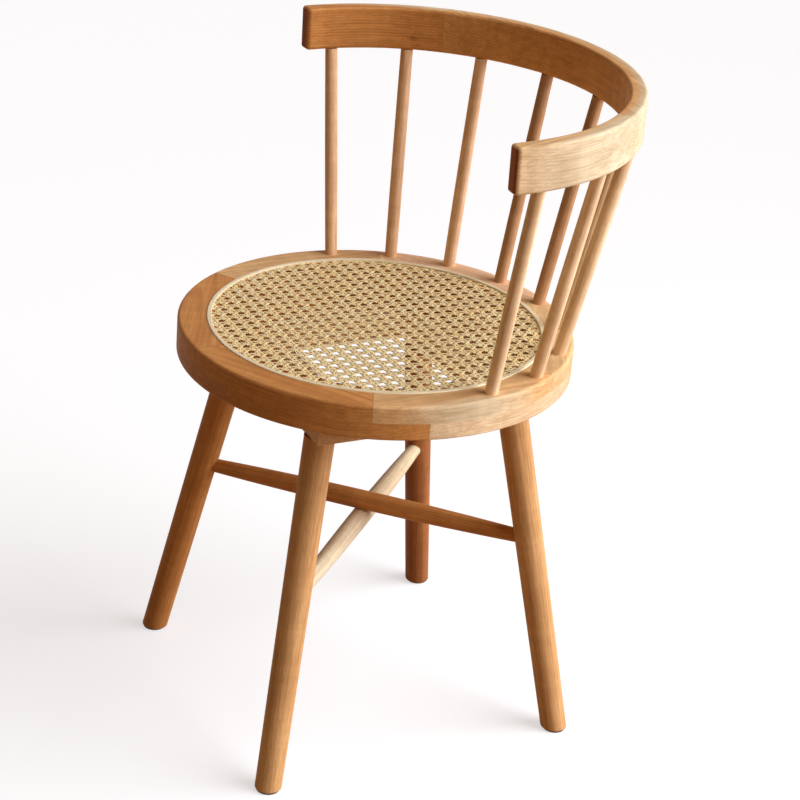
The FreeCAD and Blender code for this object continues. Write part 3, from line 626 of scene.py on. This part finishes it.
@dataclass(frozen=True)
class Cane(Finish):
    """Natural rattan peel: glossy straw with fine fibres, on strands with their own map and tone."""

    pale: Triple = srgb(255, 238, 184)
    deep: Triple = srgb(253, 217, 145)
    node: Triple = srgb(180, 132, 76)
    node_share: float = 0.7
    skin: Skin = Skin((0.34, 0.5), 0.0001, 0.6)
    specular: float = 0.35

    def surface(self, g: Graph, effects: Effects) -> Surface:
        """Reads the strands' map and tone.

        Args:
            g: The material's graph.
            effects: The shared node groups.

        Returns:
            What feeds the shader's inputs.
        """
        along = g.node("ShaderNodeUVMap", uv_map="strand").outputs[0]
        tone = g.node("ShaderNodeAttribute", attribute_name="strand_tone").outputs["Fac"]
        fibres = g.place(effects.fibres, position=along, tone=tone)
        mark = g.times(fibres["Mark"], self.node_share)
        colour = g.mix(mark, g.mix(tone, self.pale, self.deep), self.node)
        return {"Base Color": g.scale(colour, fibres["Shade"]), "Specular IOR Level": self.specular,
                **self.skin.surface(g, fibres["Height"])}


@dataclass(frozen=True)
class ReedSpline(Finish):
    """The cream reed that wedges the webbing, its fibres running round the seat."""

    pale: Triple = srgb(255, 243, 206)
    deep: Triple = srgb(246, 224, 176)
    clouds: Noise = Noise((9.0, 90.0, 1.0))
    tone: float = 0.35
    node_share: float = 0.25
    skin: Skin = Skin((0.40, 0.55), 0.0001, 0.5)

    def surface(self, g: Graph, effects: Effects) -> Surface:
        """Bends the fibres: the way round is the angle about the seat's axis times the spline's radius.

        Args:
            g: The material's graph.
            effects: The shared node groups.

        Returns:
            What feeds the shader's inputs.
        """
        x, y, z = g.split(g.vector("SUBTRACT", g.here(), (0.0, SEAT.y, 0.0)))
        radius = g.vector("LENGTH", g.build(x, y, 0.0))
        way_round = g.times(g.calc("ARCTAN2", y, x), SEAT.spline_outer)
        along = g.build(way_round, g.calc("ADD", radius, z), 0.0)
        fibres = g.place(effects.fibres, position=along, tone=self.tone)
        mark = g.times(fibres["Mark"], self.node_share)
        cloud = g.noise(g.build(way_round, radius, 0.0), self.clouds)
        colour = g.mix(mark, g.mix(cloud, self.pale, self.deep), self.deep)
        return {"Base Color": g.scale(colour, fibres["Shade"]), **self.skin.surface(g, fibres["Height"])}


@dataclass(frozen=True)
class ZincScrew(Finish):
    """Bright zinc on a wood screw, with fine spots."""

    bright: Triple = srgb(196, 194, 186)
    dull: Triple = srgb(150, 147, 138)
    spots: Noise = Noise((900.0, 900.0, 900.0), 3.0, 0.6)
    skin: Skin = Skin((0.26, 0.44), 0.00005, 0.3, (0.3, 0.7))

    def surface(self, g: Graph, effects: Effects) -> Surface:
        """Spots the metal."""
        spots = g.noise(g.here(), self.spots)
        return {"Base Color": g.mix(spots, self.bright, self.dull), "Metallic": 1.0,
                **self.skin.surface(g, spots)}


@dataclass(frozen=True)
class GlidePlastic(Finish):
    """Dark brown moulded plastic with a fine grain and scuffs."""

    base: Triple = srgb(70, 56, 46)
    scuff: Triple = srgb(104, 88, 74)
    scuffs: Noise = Noise((160.0, 900.0, 400.0), 3.0, 0.6, (0.55, 0.7), (0.0, 0.6))
    grain: Noise = Noise((1400.0, 1400.0, 1400.0))
    skin: Skin = Skin((0.5, 0.66), 0.00006, 0.4, (0.3, 0.7))

    def surface(self, g: Graph, effects: Effects) -> Surface:
        """Scuffs the plastic."""
        colour = g.mix(g.patches(g.here(), self.scuffs), self.base, self.scuff)
        return {"Base Color": colour, **self.skin.surface(g, g.noise(g.here(), self.grain))}


# Where the grain of each piece runs

@dataclass(frozen=True)
class PithPlace:
    """The ranges of how far the tree's pith lies from a piece's middle, in metres."""

    beside: Range = (0.08, 0.16)
    aside: Range = (-0.05, 0.05)
    over: Range = (0.10, 0.17)
    along: Range = (0.5, 5.0)


PITH = PithPlace()


def long_axis(node: str) -> tuple[Vector, Vector]:
    """The way a CAD node is longest, which is the way its grain runs.

    The axis is the first principal direction of the vertices: the largest eigenvector of their covariance.

    Args:
        node: The node's name.

    Returns:
        The unit axis and the middle of the vertices.
    """
    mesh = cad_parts[node].data
    points = np.empty(len(mesh.vertices) * 3, np.float32)
    mesh.vertices.foreach_get("co", points)
    points = points.reshape(-1, 3).astype(float)
    middle = (points.min(0) + points.max(0)) / 2
    _, vectors = np.linalg.eigh(np.cov((points - points.mean(0)).T))
    axis = Vector(vectors[:, -1])
    return (axis if axis.dot(Vector((1.0, 1.0, 1.0))) >= 0 else -axis), Vector(middle)


def pith(middle: Vector, axis: Vector, seed: int, turned: bool) -> Vector:
    """A point for the tree's pith, the same in each run.

    Args:
        middle: The middle of the piece.
        axis: The way its grain runs.
        seed: The piece's own number.
        turned: Whether the piece is turned, and not sawn from a flat plank.

    Returns:
        A point beside a turned piece at a seeded angle and distance, or well below or above a sawn one and a
        little to one side, and as far along the axis as makes each piece's noise its own.
    """
    chance = np.random.default_rng(seed)
    if turned:
        side = axis.orthogonal().normalized()
        side.rotate(Matrix.Rotation(chance.uniform(0, 2 * math.pi), 3, axis))
        place = middle + side * chance.uniform(*PITH.beside)
    else:
        aside = axis.cross(Vector((0.0, 0.0, 1.0))).normalized() * chance.uniform(*PITH.aside)
        drop = Vector((0.0, 0.0, chance.choice((-1.0, 1.0)) * chance.uniform(*PITH.over)))
        place = middle + drop + aside
    return place + axis * chance.uniform(*PITH.along)


# The sub-assemblies

@dataclass
class Assembly:
    """A sub-assembly, whose finishes share the effects."""

    effects: Effects

    def cover(self, finish: Finish, name: str, *nodes: str) -> None:
        """Gives CAD nodes one material.

        Args:
            finish: The material's finish.
            name: The material's name.
            nodes: The names of the nodes.
        """
        material = finish.material(name, self.effects)
        for node in nodes:
            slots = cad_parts[node].data.materials
            slots.clear()
            slots.append(material)
            log.info("dressed %s", node)


@dataclass
class SeatRing(Assembly):
    """The seat's wooden ring: six boards above and six below, glued with staggered joints."""

    boards: int = 6
    upper_joint_deg: float = -26.4
    lower_joint_deg: float = -10.5
    # Board tones, partly their own and partly painted light: darker AMBER and RUSSET boards where the ring
    # stands in shade, paler ones towards the lamps
    upper: tuple[Board, ...] = (Board.STRAW, Board.PALE, Board.BLUSH, Board.STRAW, Board.AMBER, Board.AMBER)
    lower: tuple[Board, ...] = (Board.CREAM, Board.PALE, Board.RUSSET, Board.AMBER, Board.RUSSET, Board.AMBER)
    upper_seed: int = 11
    lower_seed: int = 31
    middle_radius: float = 0.19
    # The first upper board, on the lit side, turns pale outwards: partly sapwood, partly a painted highlight
    pale_board: str = "seat_ring_upper_1"
    sapwood: Sapwood = Sapwood(0.196, 0.220)

    def layer(self, level: str, first_joint: float, timbers: tuple[Board, ...], seed: int) -> None:
        """Dresses the boards of one layer, each with its own grain along its chord.

        Args:
            level: Upper or lower.
            first_joint: The angle of the first joint, in degrees.
            timbers: The kind of each board.
            seed: The first board's number.
        """
        sweep = math.radians(360 / self.boards)
        for number, timber in enumerate(timbers):
            node = f"seat_ring_{level}_{number + 1}"
            start = math.radians(first_joint) + number * sweep
            x, y = math.cos(start + sweep / 2), math.sin(start + sweep / 2)
            grain = Vector((-y, x, 0.0))
            centre = Vector((x * self.middle_radius, SEAT.y + y * self.middle_radius, SEAT.layer_joint))
            first, second = ((-math.sin(angle), math.cos(angle), 0.0) for angle in (start, start + sweep))
            outside = replace(self.sapwood, outward=(x, y, 0.0))
            finish = OiledWood(timber, Cut.RING, grain, pith(centre, grain, seed + number, turned=False),
                               joints=Joints(first, first[1] * SEAT.y, second, second[1] * SEAT.y),
                               sapwood=outside if node == self.pale_board else None)
            self.cover(finish, f"wood_{node}", node)

    def dress(self) -> None:
        """Dresses both layers and the spline."""
        self.layer("upper", self.upper_joint_deg, self.upper, self.upper_seed)
        self.layer("lower", self.lower_joint_deg, self.lower, self.lower_seed)
        self.cover(ReedSpline(), "reed_spline", "cane_spline")


HALF = math.sqrt(0.5)


class Way(Enum):
    """The ways that the webbing's strands run, as level unit vectors along and across them."""

    FRONT_BACK = (0.0, 1.0), (1.0, 0.0)
    SIDE_SIDE = (1.0, 0.0), (0.0, 1.0)
    RISING = (HALF, HALF), (HALF, -HALF)
    FALLING = (HALF, -HALF), (HALF, HALF)

    @property
    def straight(self) -> bool:
        """Whether the strands run square to the seat, in pairs."""
        return self in (Way.FRONT_BACK, Way.SIDE_SIDE)


@dataclass
class CaneSeat(Assembly):
    """The six-way woven webbing, made strand by strand, in metres, with its waves in radians to a metre."""

    pitch: float = 0.014
    pair_offset: float = 0.0021
    straight_width: float = 0.0029
    diagonal_width: float = 0.0031
    width_spread: Range = (0.92, 1.06)
    width_change: float = 0.05
    width_wave: float = 63.0
    wander: float = 0.00016
    wander_waves: Range = (41.0, 97.0)
    strand_thickness: float = 0.00056
    across_power: float = 0.7
    up_power: float = 0.8
    straight_lift: float = 0.00029
    straight_flatness: float = 2.6
    diagonal_lift: float = 0.00060
    diagonal_flatness: float = 3.6
    middle_height: float = 0.4491
    reach: float = 0.1796
    edge_margin: float = 0.004
    sides: int = 8
    steps_to_pitch: float = 11.0
    tone_middle: float = 0.45
    tone_spread: float = 0.24
    map_shift: float = 5.0
    seed: int = 7

    def lines(self, way: Way) -> list[tuple[float, float]]:
        """The middle lines of one way's strands.

        Straight strands lie in pairs about the lines k times the pitch, and diagonal ones on (k + 1/2) times
        the pitch, measured along X, so over the square root of 2 across the strand.

        Args:
            way: The way the strands run.

        Returns:
            Each line's offset across the strand from the seat's axis, and its phase: the hand of the pair for
            a straight strand, and k + 1/2 for a diagonal one.
        """
        count = int(self.reach * math.sqrt(2) / self.pitch) + 1
        if way.straight:
            found = [(k * self.pitch + hand * self.pair_offset, float(hand))
                     for k in range(-count, count + 1) for hand in (-1, 1)]
        else:
            found = [((k + 0.5) * self.pitch / math.sqrt(2), k + 0.5) for k in range(-count - 1, count + 1)]
        return [(offset, phase) for offset, phase in found if abs(offset) < self.reach - self.edge_margin]

    def height(self, way: Way, along: np.ndarray, phase: float) -> np.ndarray:
        """How far a strand's middle rises over the webbing's middle, in metres.

        A straight strand goes down at one strand of the crossing pair and up at the other: one full sine wave
        over four times the pair's offset, and level beyond it. A diagonal strand is up over one pair and down
        under the next: a cosine of half the crossings passed. A hyperbolic tangent flattens both.

        Args:
            way: The way the strand runs.
            along: The distance along the strand from the foot of the seat's axis.
            phase: The strand's phase, from lines.

        Returns:
            The height at each distance.
        """
        if way.straight:
            hand = -phase if way is Way.FRONT_BACK else phase
            local = along - np.round(along / self.pitch) * self.pitch
            turn = np.clip(local / (2 * self.pair_offset), -1, 1)
            return self.straight_lift * hand * np.tanh(self.straight_flatness * np.sin(math.pi * turn))
        hand = 1.0 if way is Way.RISING else -1.0
        flat = self.diagonal_flatness
        passed = along * math.sqrt(2) / self.pitch + phase
        return self.diagonal_lift * hand * np.tanh(flat * np.cos(math.pi * passed)) / math.tanh(flat)

    def strand(self, way: Way, offset: float, phase: float,
               chance: np.random.Generator) -> tuple[np.ndarray, np.ndarray]:
        """One strand as a closed tube on a grid of rings along it by points round it.

        Round the strand, a point at angle a lies at half the width times a power of cos(a) across and half
        the thickness times a power of sin(a) up, so its face is gently crowned. Two slow sine waves with
        seeded phases make it wander a little sideways, and a third changes its width a little.

        Args:
            way: The way the strand runs.
            offset: Its middle line's distance from the seat's axis.
            phase: Its phase, from lines.
            chance: The seeded source of its unevenness.

        Returns:
            The points (rings by sides by 3) and their map (rings by sides by 2).
        """
        half_run = math.sqrt(self.reach ** 2 - offset ** 2)
        rings = int(2 * half_run / self.pitch * self.steps_to_pitch)
        along = np.linspace(-half_run, half_run, rings)
        starts = chance.uniform(0, 2 * math.pi, 3)
        waves = [np.sin(along * wave + start) for wave, start in zip(self.wander_waves, starts)]
        wander = self.wander * (waves[0] + waves[1])
        width = self.straight_width if way.straight else self.diagonal_width
        width = width * chance.uniform(*self.width_spread)
        width = width * (1 + self.width_change * np.sin(along * self.width_wave + starts[2]))
        angle = 2 * math.pi * (np.arange(self.sides) + 0.5) / self.sides
        across_unit = np.sign(np.cos(angle)) * np.abs(np.cos(angle)) ** self.across_power
        up_unit = np.sign(np.sin(angle)) * np.abs(np.sin(angle)) ** self.up_power
        sideways = offset + wander[:, None] + width[:, None] / 2 * across_unit[None, :]
        up = self.height(way, along, phase)[:, None] + self.strand_thickness / 2 * up_unit[None, :]
        forward, side = np.array(way.value)
        flat = along[:, None, None] * forward + sideways[:, :, None] * side
        points = np.dstack((flat[:, :, 0], flat[:, :, 1] + SEAT.y, up + self.middle_height))
        flat_map = np.broadcast_arrays(along[:, None], across_unit[None, :] * self.straight_width / 2)
        return points, np.stack(flat_map, axis=-1)

    def tube_faces(self, rings: int, base: int, flip: bool) -> tuple[np.ndarray, list[list[int]]]:
        """The faces of one closed tube.

        Args:
            rings: How many rings it has.
            base: The number of its first vertex.
            flip: Whether the faces are turned over, so that they point outwards.

        Returns:
            The side faces, four corners each, and the two end caps.
        """
        ring, side = np.meshgrid(np.arange(rings - 1), np.arange(self.sides), indexing="ij")
        here = base + ring * self.sides + side
        beside = base + ring * self.sides + (side + 1) % self.sides
        quads = np.stack((here, beside, beside + self.sides, here + self.sides), axis=-1).reshape(-1, 4)
        first = list(range(base, base + self.sides))
        last = [number + (rings - 1) * self.sides for number in first]
        if flip:
            return quads[:, ::-1], [first, last[::-1]]
        return quads, [first[::-1], last]

    def weave(self, way: Way) -> bpy.types.Object:
        """All the strands that run one way, as one piece.

        Args:
            way: The way they run.

        Returns:
            The new object, with its map and each strand's tone.
        """
        chance = np.random.default_rng(self.seed + list(Way).index(way))
        forward, side = np.array(way.value)
        flip = forward[0] * side[1] - forward[1] * side[0] < 0
        points, quads, caps, maps, tones = [], [], [], [], []
        base = 0
        for offset, phase in self.lines(way):
            grid, flat_map = self.strand(way, offset, phase, chance)
            faces, ends = self.tube_faces(len(grid), base, flip)
            points.append(grid.reshape(-1, 3))
            quads.append(faces)
            caps.extend(ends)
            maps.append(flat_map.reshape(-1, 2) + (chance.uniform(0, self.map_shift), 0.0))
            tone = np.clip(chance.normal(self.tone_middle, self.tone_spread), 0, 1)
            tones.append(np.full(len(points[-1]), tone))
            base += len(points[-1])
        mesh = bpy.data.meshes.new(f"cane_{way.name.lower()}")
        mesh.from_pydata(np.vstack(points).tolist(), [], np.vstack(quads).tolist() + caps)
        mesh.polygons.foreach_set("use_smooth", np.ones(len(mesh.polygons), bool))
        corners = np.empty(len(mesh.loops), np.int32)
        mesh.loops.foreach_get("vertex_index", corners)
        layer = mesh.uv_layers.new(name="strand")
        layer.data.foreach_set("uv", np.vstack(maps)[corners].astype(np.float32).ravel())
        tone = mesh.attributes.new("strand_tone", "FLOAT", "POINT")
        tone.data.foreach_set("value", np.concatenate(tones).astype(np.float32))
        mesh.update()
        return add(mesh)

    def build(self) -> None:
        """Weaves the four ways and puts them in the sheet's place."""
        material = Cane().material("cane", self.effects)
        for way in Way:
            piece = self.weave(way)
            piece.data.materials.append(material)
            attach(piece, "root")
            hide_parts("cane_panel")
            log.info("wove %s: %d faces", piece.name, len(piece.data.polygons))


@dataclass
class TurnedAndSawn(Assembly):
    """The pieces whose grain runs along their length: spindles, rail, frame, legs and stretchers."""

    # Spindles 5 and 6 get the darker cocoa board: painted shade where the rail's shadow falls
    spindles: tuple[Board, ...] = (Board.ROSE,) * 4 + (Board.COCOA,) * 2 + (Board.BLUSH,) * 3
    # The rail's outside turns pale: partly sapwood, partly a painted highlight; the arms' taper pales them
    # towards the back, where the lamps stand
    centre_sapwood: Sapwood = Sapwood(0.244, 0.2585)
    arm_sapwood: Sapwood = Sapwood(0.247, 0.263, taper=0.04)
    knotty: str = "back_rail_right_arm"
    knot: Knot = Knot((-0.20687, 0.10102, 0.70048))
    # Painted highlight: the frame bars' end grain is pale as if lit, though it stands in the ring's shade
    frame_end: Triple = srgb(236, 214, 190)
    first_seed: int = 60
    # Board tones, partly their own and partly painted light: darker AMBER and UMBER boards on the far arm and
    # legs that stand in shade, pale CREAM and IVORY boards on the frame bars and lower stretcher, painted
    # lighter as if lit
    timbers: dict[str, Board] = field(default_factory=lambda: {
        "back_rail_left_arm": Board.STRAW, "back_rail_centre": Board.GOLD, "back_rail_right_arm": Board.AMBER,
        "rail_dowels": Board.PALE,
        **{f"frame_{side}_bar": Board.CREAM for side in ("left", "right", "front", "rear")},
        "stretcher_upper": Board.AMBER, "stretcher_lower": Board.IVORY, "leg_front_left": Board.HONEY,
        "leg_rear_left": Board.HONEY, "leg_rear_right": Board.UMBER, "leg_front_right": Board.AMBER,
    })

    def cut(self, node: str) -> Cut:
        """How a piece is cut."""
        kinds = {"back": Cut.RAIL, "frame": Cut.FRAME}
        return kinds.get(node.split("_")[0], Cut.TURNED)

    def sapwood(self, node: str) -> Sapwood | None:
        """Where a rail board turns pale towards its outside, partly sapwood and partly a painted highlight,
        and nothing for the other pieces.
        """
        arm = self.arm_sapwood if self.cut(node) is Cut.RAIL else None
        return self.centre_sapwood if node == "back_rail_centre" else arm

    def dress(self) -> None:
        """Dresses every long piece along its own axis."""
        timbers = dict(self.timbers)
        timbers.update({f"spindle_{number}": board for number, board in enumerate(self.spindles, start=1)})
        for seed, (node, timber) in enumerate(timbers.items(), start=self.first_seed):
            axis, middle = long_axis(node)
            cut = self.cut(node)
            finish = OiledWood(timber, cut, axis, pith(middle, axis, seed, turned=cut is Cut.TURNED),
                               end_grain=self.frame_end if cut is Cut.FRAME else OiledWood.end_grain,
                               sapwood=self.sapwood(node), knot=self.knot if node == self.knotty else None)
            self.cover(finish, f"wood_{node}", node)


@dataclass
class Hardware(Assembly):
    """The screws and the glides."""

    screws: tuple[str, ...] = ("frame_screws", "stretcher_screw")
    glides: tuple[str, ...] = ("glide_front_left", "glide_rear_left", "glide_rear_right", "glide_front_right")

    def dress(self) -> None:
        """Dresses the screws in zinc and the glides in plastic."""
        self.cover(ZincScrew(), "zinc", *self.screws)
        self.cover(GlidePlastic(), "glide_plastic", *self.glides)


# The studio and the camera

@dataclass
class Studio:
    """The pale floor, the white surround and the soft lamps, in metres and watts."""

    floor_size: float = 14.0
    floor_colour: Triple = (0.50, 0.50, 0.50)
    floor_bounce: Triple = (0.35, 0.19, 0.085)
    floor_glow: float = 0.62
    floor_roughness: float = 0.9
    key_azimuth_deg: float = 54.0
    key_elevation_deg: float = 36.0
    key_spread_deg: float = 58.0
    key_distance: float = 3.0
    key_strength: float = 2.95
    key_colour: Triple = (0.98, 0.98, 1.07)
    window_distance: float = 1.7
    window_height: float = 0.85
    window_size: float = 1.4
    window_power: float = 16.0
    white: Triple = (1.0, 1.0, 1.0)
    sky: Triple = (1.0, 0.70, 0.44)
    sky_strength: float = 0.165

    def looked_at(self, g: Graph) -> Socket:
        """Whether a ray is the camera's own, or one mirrored or let through by a piece.

        Args:
            g: The graph that asks.

        Returns:
            1 for such a ray and 0 for one that only carries light.
        """
        path = g.node("ShaderNodeLightPath").outputs
        mirrored = g.calc("MAXIMUM", path["Is Glossy Ray"], path["Is Transmission Ray"])
        return g.calc("MAXIMUM", path["Is Camera Ray"], mirrored)

    def floor(self) -> None:
        """A wide level floor, pale, that keeps the chair's shadow and runs into the white surround."""
        reach = self.floor_size / 2
        mesh = bpy.data.meshes.new("floor")
        corners = [(-reach, -reach, 0.0), (reach, -reach, 0.0), (reach, reach, 0.0), (-reach, reach, 0.0)]
        mesh.from_pydata(corners, [], [(0, 1, 2, 3)])
        piece = add(mesh)
        made = bpy.data.materials.new("pale_floor")
        made.use_nodes = True
        g = Graph(made.node_tree)
        seen = self.looked_at(g)
        g.fill(made.node_tree.nodes["Principled BSDF"],
               Base_Color=g.mix(seen, self.floor_bounce, self.floor_colour), Roughness=self.floor_roughness,
               Specular_IOR_Level=0.0, Emission_Color=self.white,
               Emission_Strength=g.times(seen, self.floor_glow))
        piece.data.materials.append(made)

    def surround(self) -> None:
        """A white world where it is seen or mirrored, and a soft warm sky for the light."""
        world = bpy.data.worlds.new("surround")
        bpy.context.scene.world = world
        world.use_nodes = True
        g = Graph(world.node_tree)
        seen = self.looked_at(g)
        strength = g.calc("MULTIPLY_ADD", seen, 1.0 - self.sky_strength, self.sky_strength)
        shader = world.node_tree.nodes["Background"]
        g.fill(shader, Color=g.mix(seen, self.sky, self.white), Strength=strength)

    def hang(self, lamp: bpy.types.Light, place: Vector) -> None:
        """Hangs a lamp at a place, turned to the seat.

        Args:
            lamp: The lamp.
            place: Where it hangs, in metres.
        """
        lamp.color = self.key_colour
        piece = add(lamp)
        piece.location = place
        piece.rotation_mode = "QUATERNION"
        piece.rotation_quaternion = (place - Vector((0.0, 0.0, SEAT.top))).to_track_quat("Z", "Y")

    def lamps(self) -> None:
        """A wide soft sun and a window near the chair, both to the sitter's left and a little behind."""
        turn, rise = math.radians(self.key_azimuth_deg), math.radians(self.key_elevation_deg)
        level = Vector((math.cos(turn), math.sin(turn), 0.0))
        sun = bpy.data.lights.new("sun", "SUN")
        sun.angle = math.radians(self.key_spread_deg)
        sun.energy = self.key_strength
        away = (level + Vector((0.0, 0.0, math.tan(rise)))) * self.key_distance
        self.hang(sun, away + Vector((0.0, 0.0, SEAT.top)))
        window = bpy.data.lights.new("window", "AREA")
        window.size = self.window_size
        window.energy = self.window_power
        self.hang(window, level * self.window_distance + Vector((0.0, 0.0, self.window_height)))

    def build(self) -> None:
        """Sets the stage and the lamps."""
        self.floor()
        self.surround()
        self.lamps()
        bpy.context.scene.view_settings.view_transform = "Standard"
        log.info("set the studio")


@dataclass
class PhotographersView:
    """The camera, where the photograph was taken from: metres, a lens in millimetres and picture points."""

    azimuth_deg: float = 62.87
    elevation_deg: float = 22.95
    roll_deg: float = 4.56
    distance: float = 2.32805
    lens: float = 96.60
    sensor: float = 36.0
    nearest: float = 0.05
    farthest: float = 60.0
    picture: float = 800.0
    target_x: float = 376.74
    target_y: float = 321.73

    def back(self) -> Vector:
        """The unit vector from the seat's middle to the camera."""
        turn, rise = math.radians(self.azimuth_deg), math.radians(self.elevation_deg)
        return Vector((math.sin(turn) * math.cos(rise), -math.cos(turn) * math.cos(rise), math.sin(rise)))

    def axes(self) -> tuple[Vector, Vector, Vector]:
        """The camera's right, up and forward unit vectors.

        The camera looks at the seat's middle and rolls by the roll angle. It is then re-aimed so that the
        seat's middle falls on its own point of the picture and not in the centre.

        Returns:
            Right, up and forward.
        """
        roll = math.radians(self.roll_deg)
        forward = -self.back()
        right = forward.cross(Vector((0.0, 0.0, 1.0))).normalized()
        up = right.cross(forward)
        rolled = right * math.cos(roll) + up * math.sin(roll)
        upright = up * math.cos(roll) - right * math.sin(roll)
        focal = self.lens / self.sensor * self.picture
        across, down = (target - self.picture / 2 for target in (self.target_x, self.target_y))
        forward = forward - rolled * across / focal + upright * down / focal
        forward.normalize()
        rolled = (rolled - forward * rolled.dot(forward)).normalized()
        return rolled, rolled.cross(forward), forward

    def build(self) -> None:
        """Adds the camera and makes it the scene's own."""
        right, up, forward = self.axes()
        camera = bpy.data.cameras.new("camera")
        camera.lens = self.lens
        camera.sensor_width = self.sensor
        camera.clip_start, camera.clip_end = self.nearest, self.farthest
        piece = add(camera)
        place = Vector((0.0, SEAT.y, SEAT.top)) + self.back() * self.distance
        turned = Matrix((right, up, -forward)).transposed().to_4x4()
        piece.matrix_world = Matrix.Translation(place) @ turned
        bpy.context.scene.camera = piece
        log.info("placed the camera")


def main() -> None:
    """Builds and dresses the chair, the studio and the camera, in that order."""
    logging.basicConfig(level=logging.INFO, format="%(message)s")
    effects = Effects()
    SeatRing(effects).dress()
    CaneSeat(effects).build()
    TurnedAndSawn(effects).dress()
    Hardware(effects).dress()
    Studio().build()
    PhotographersView().build()


if __name__ == "__main__":
    main()
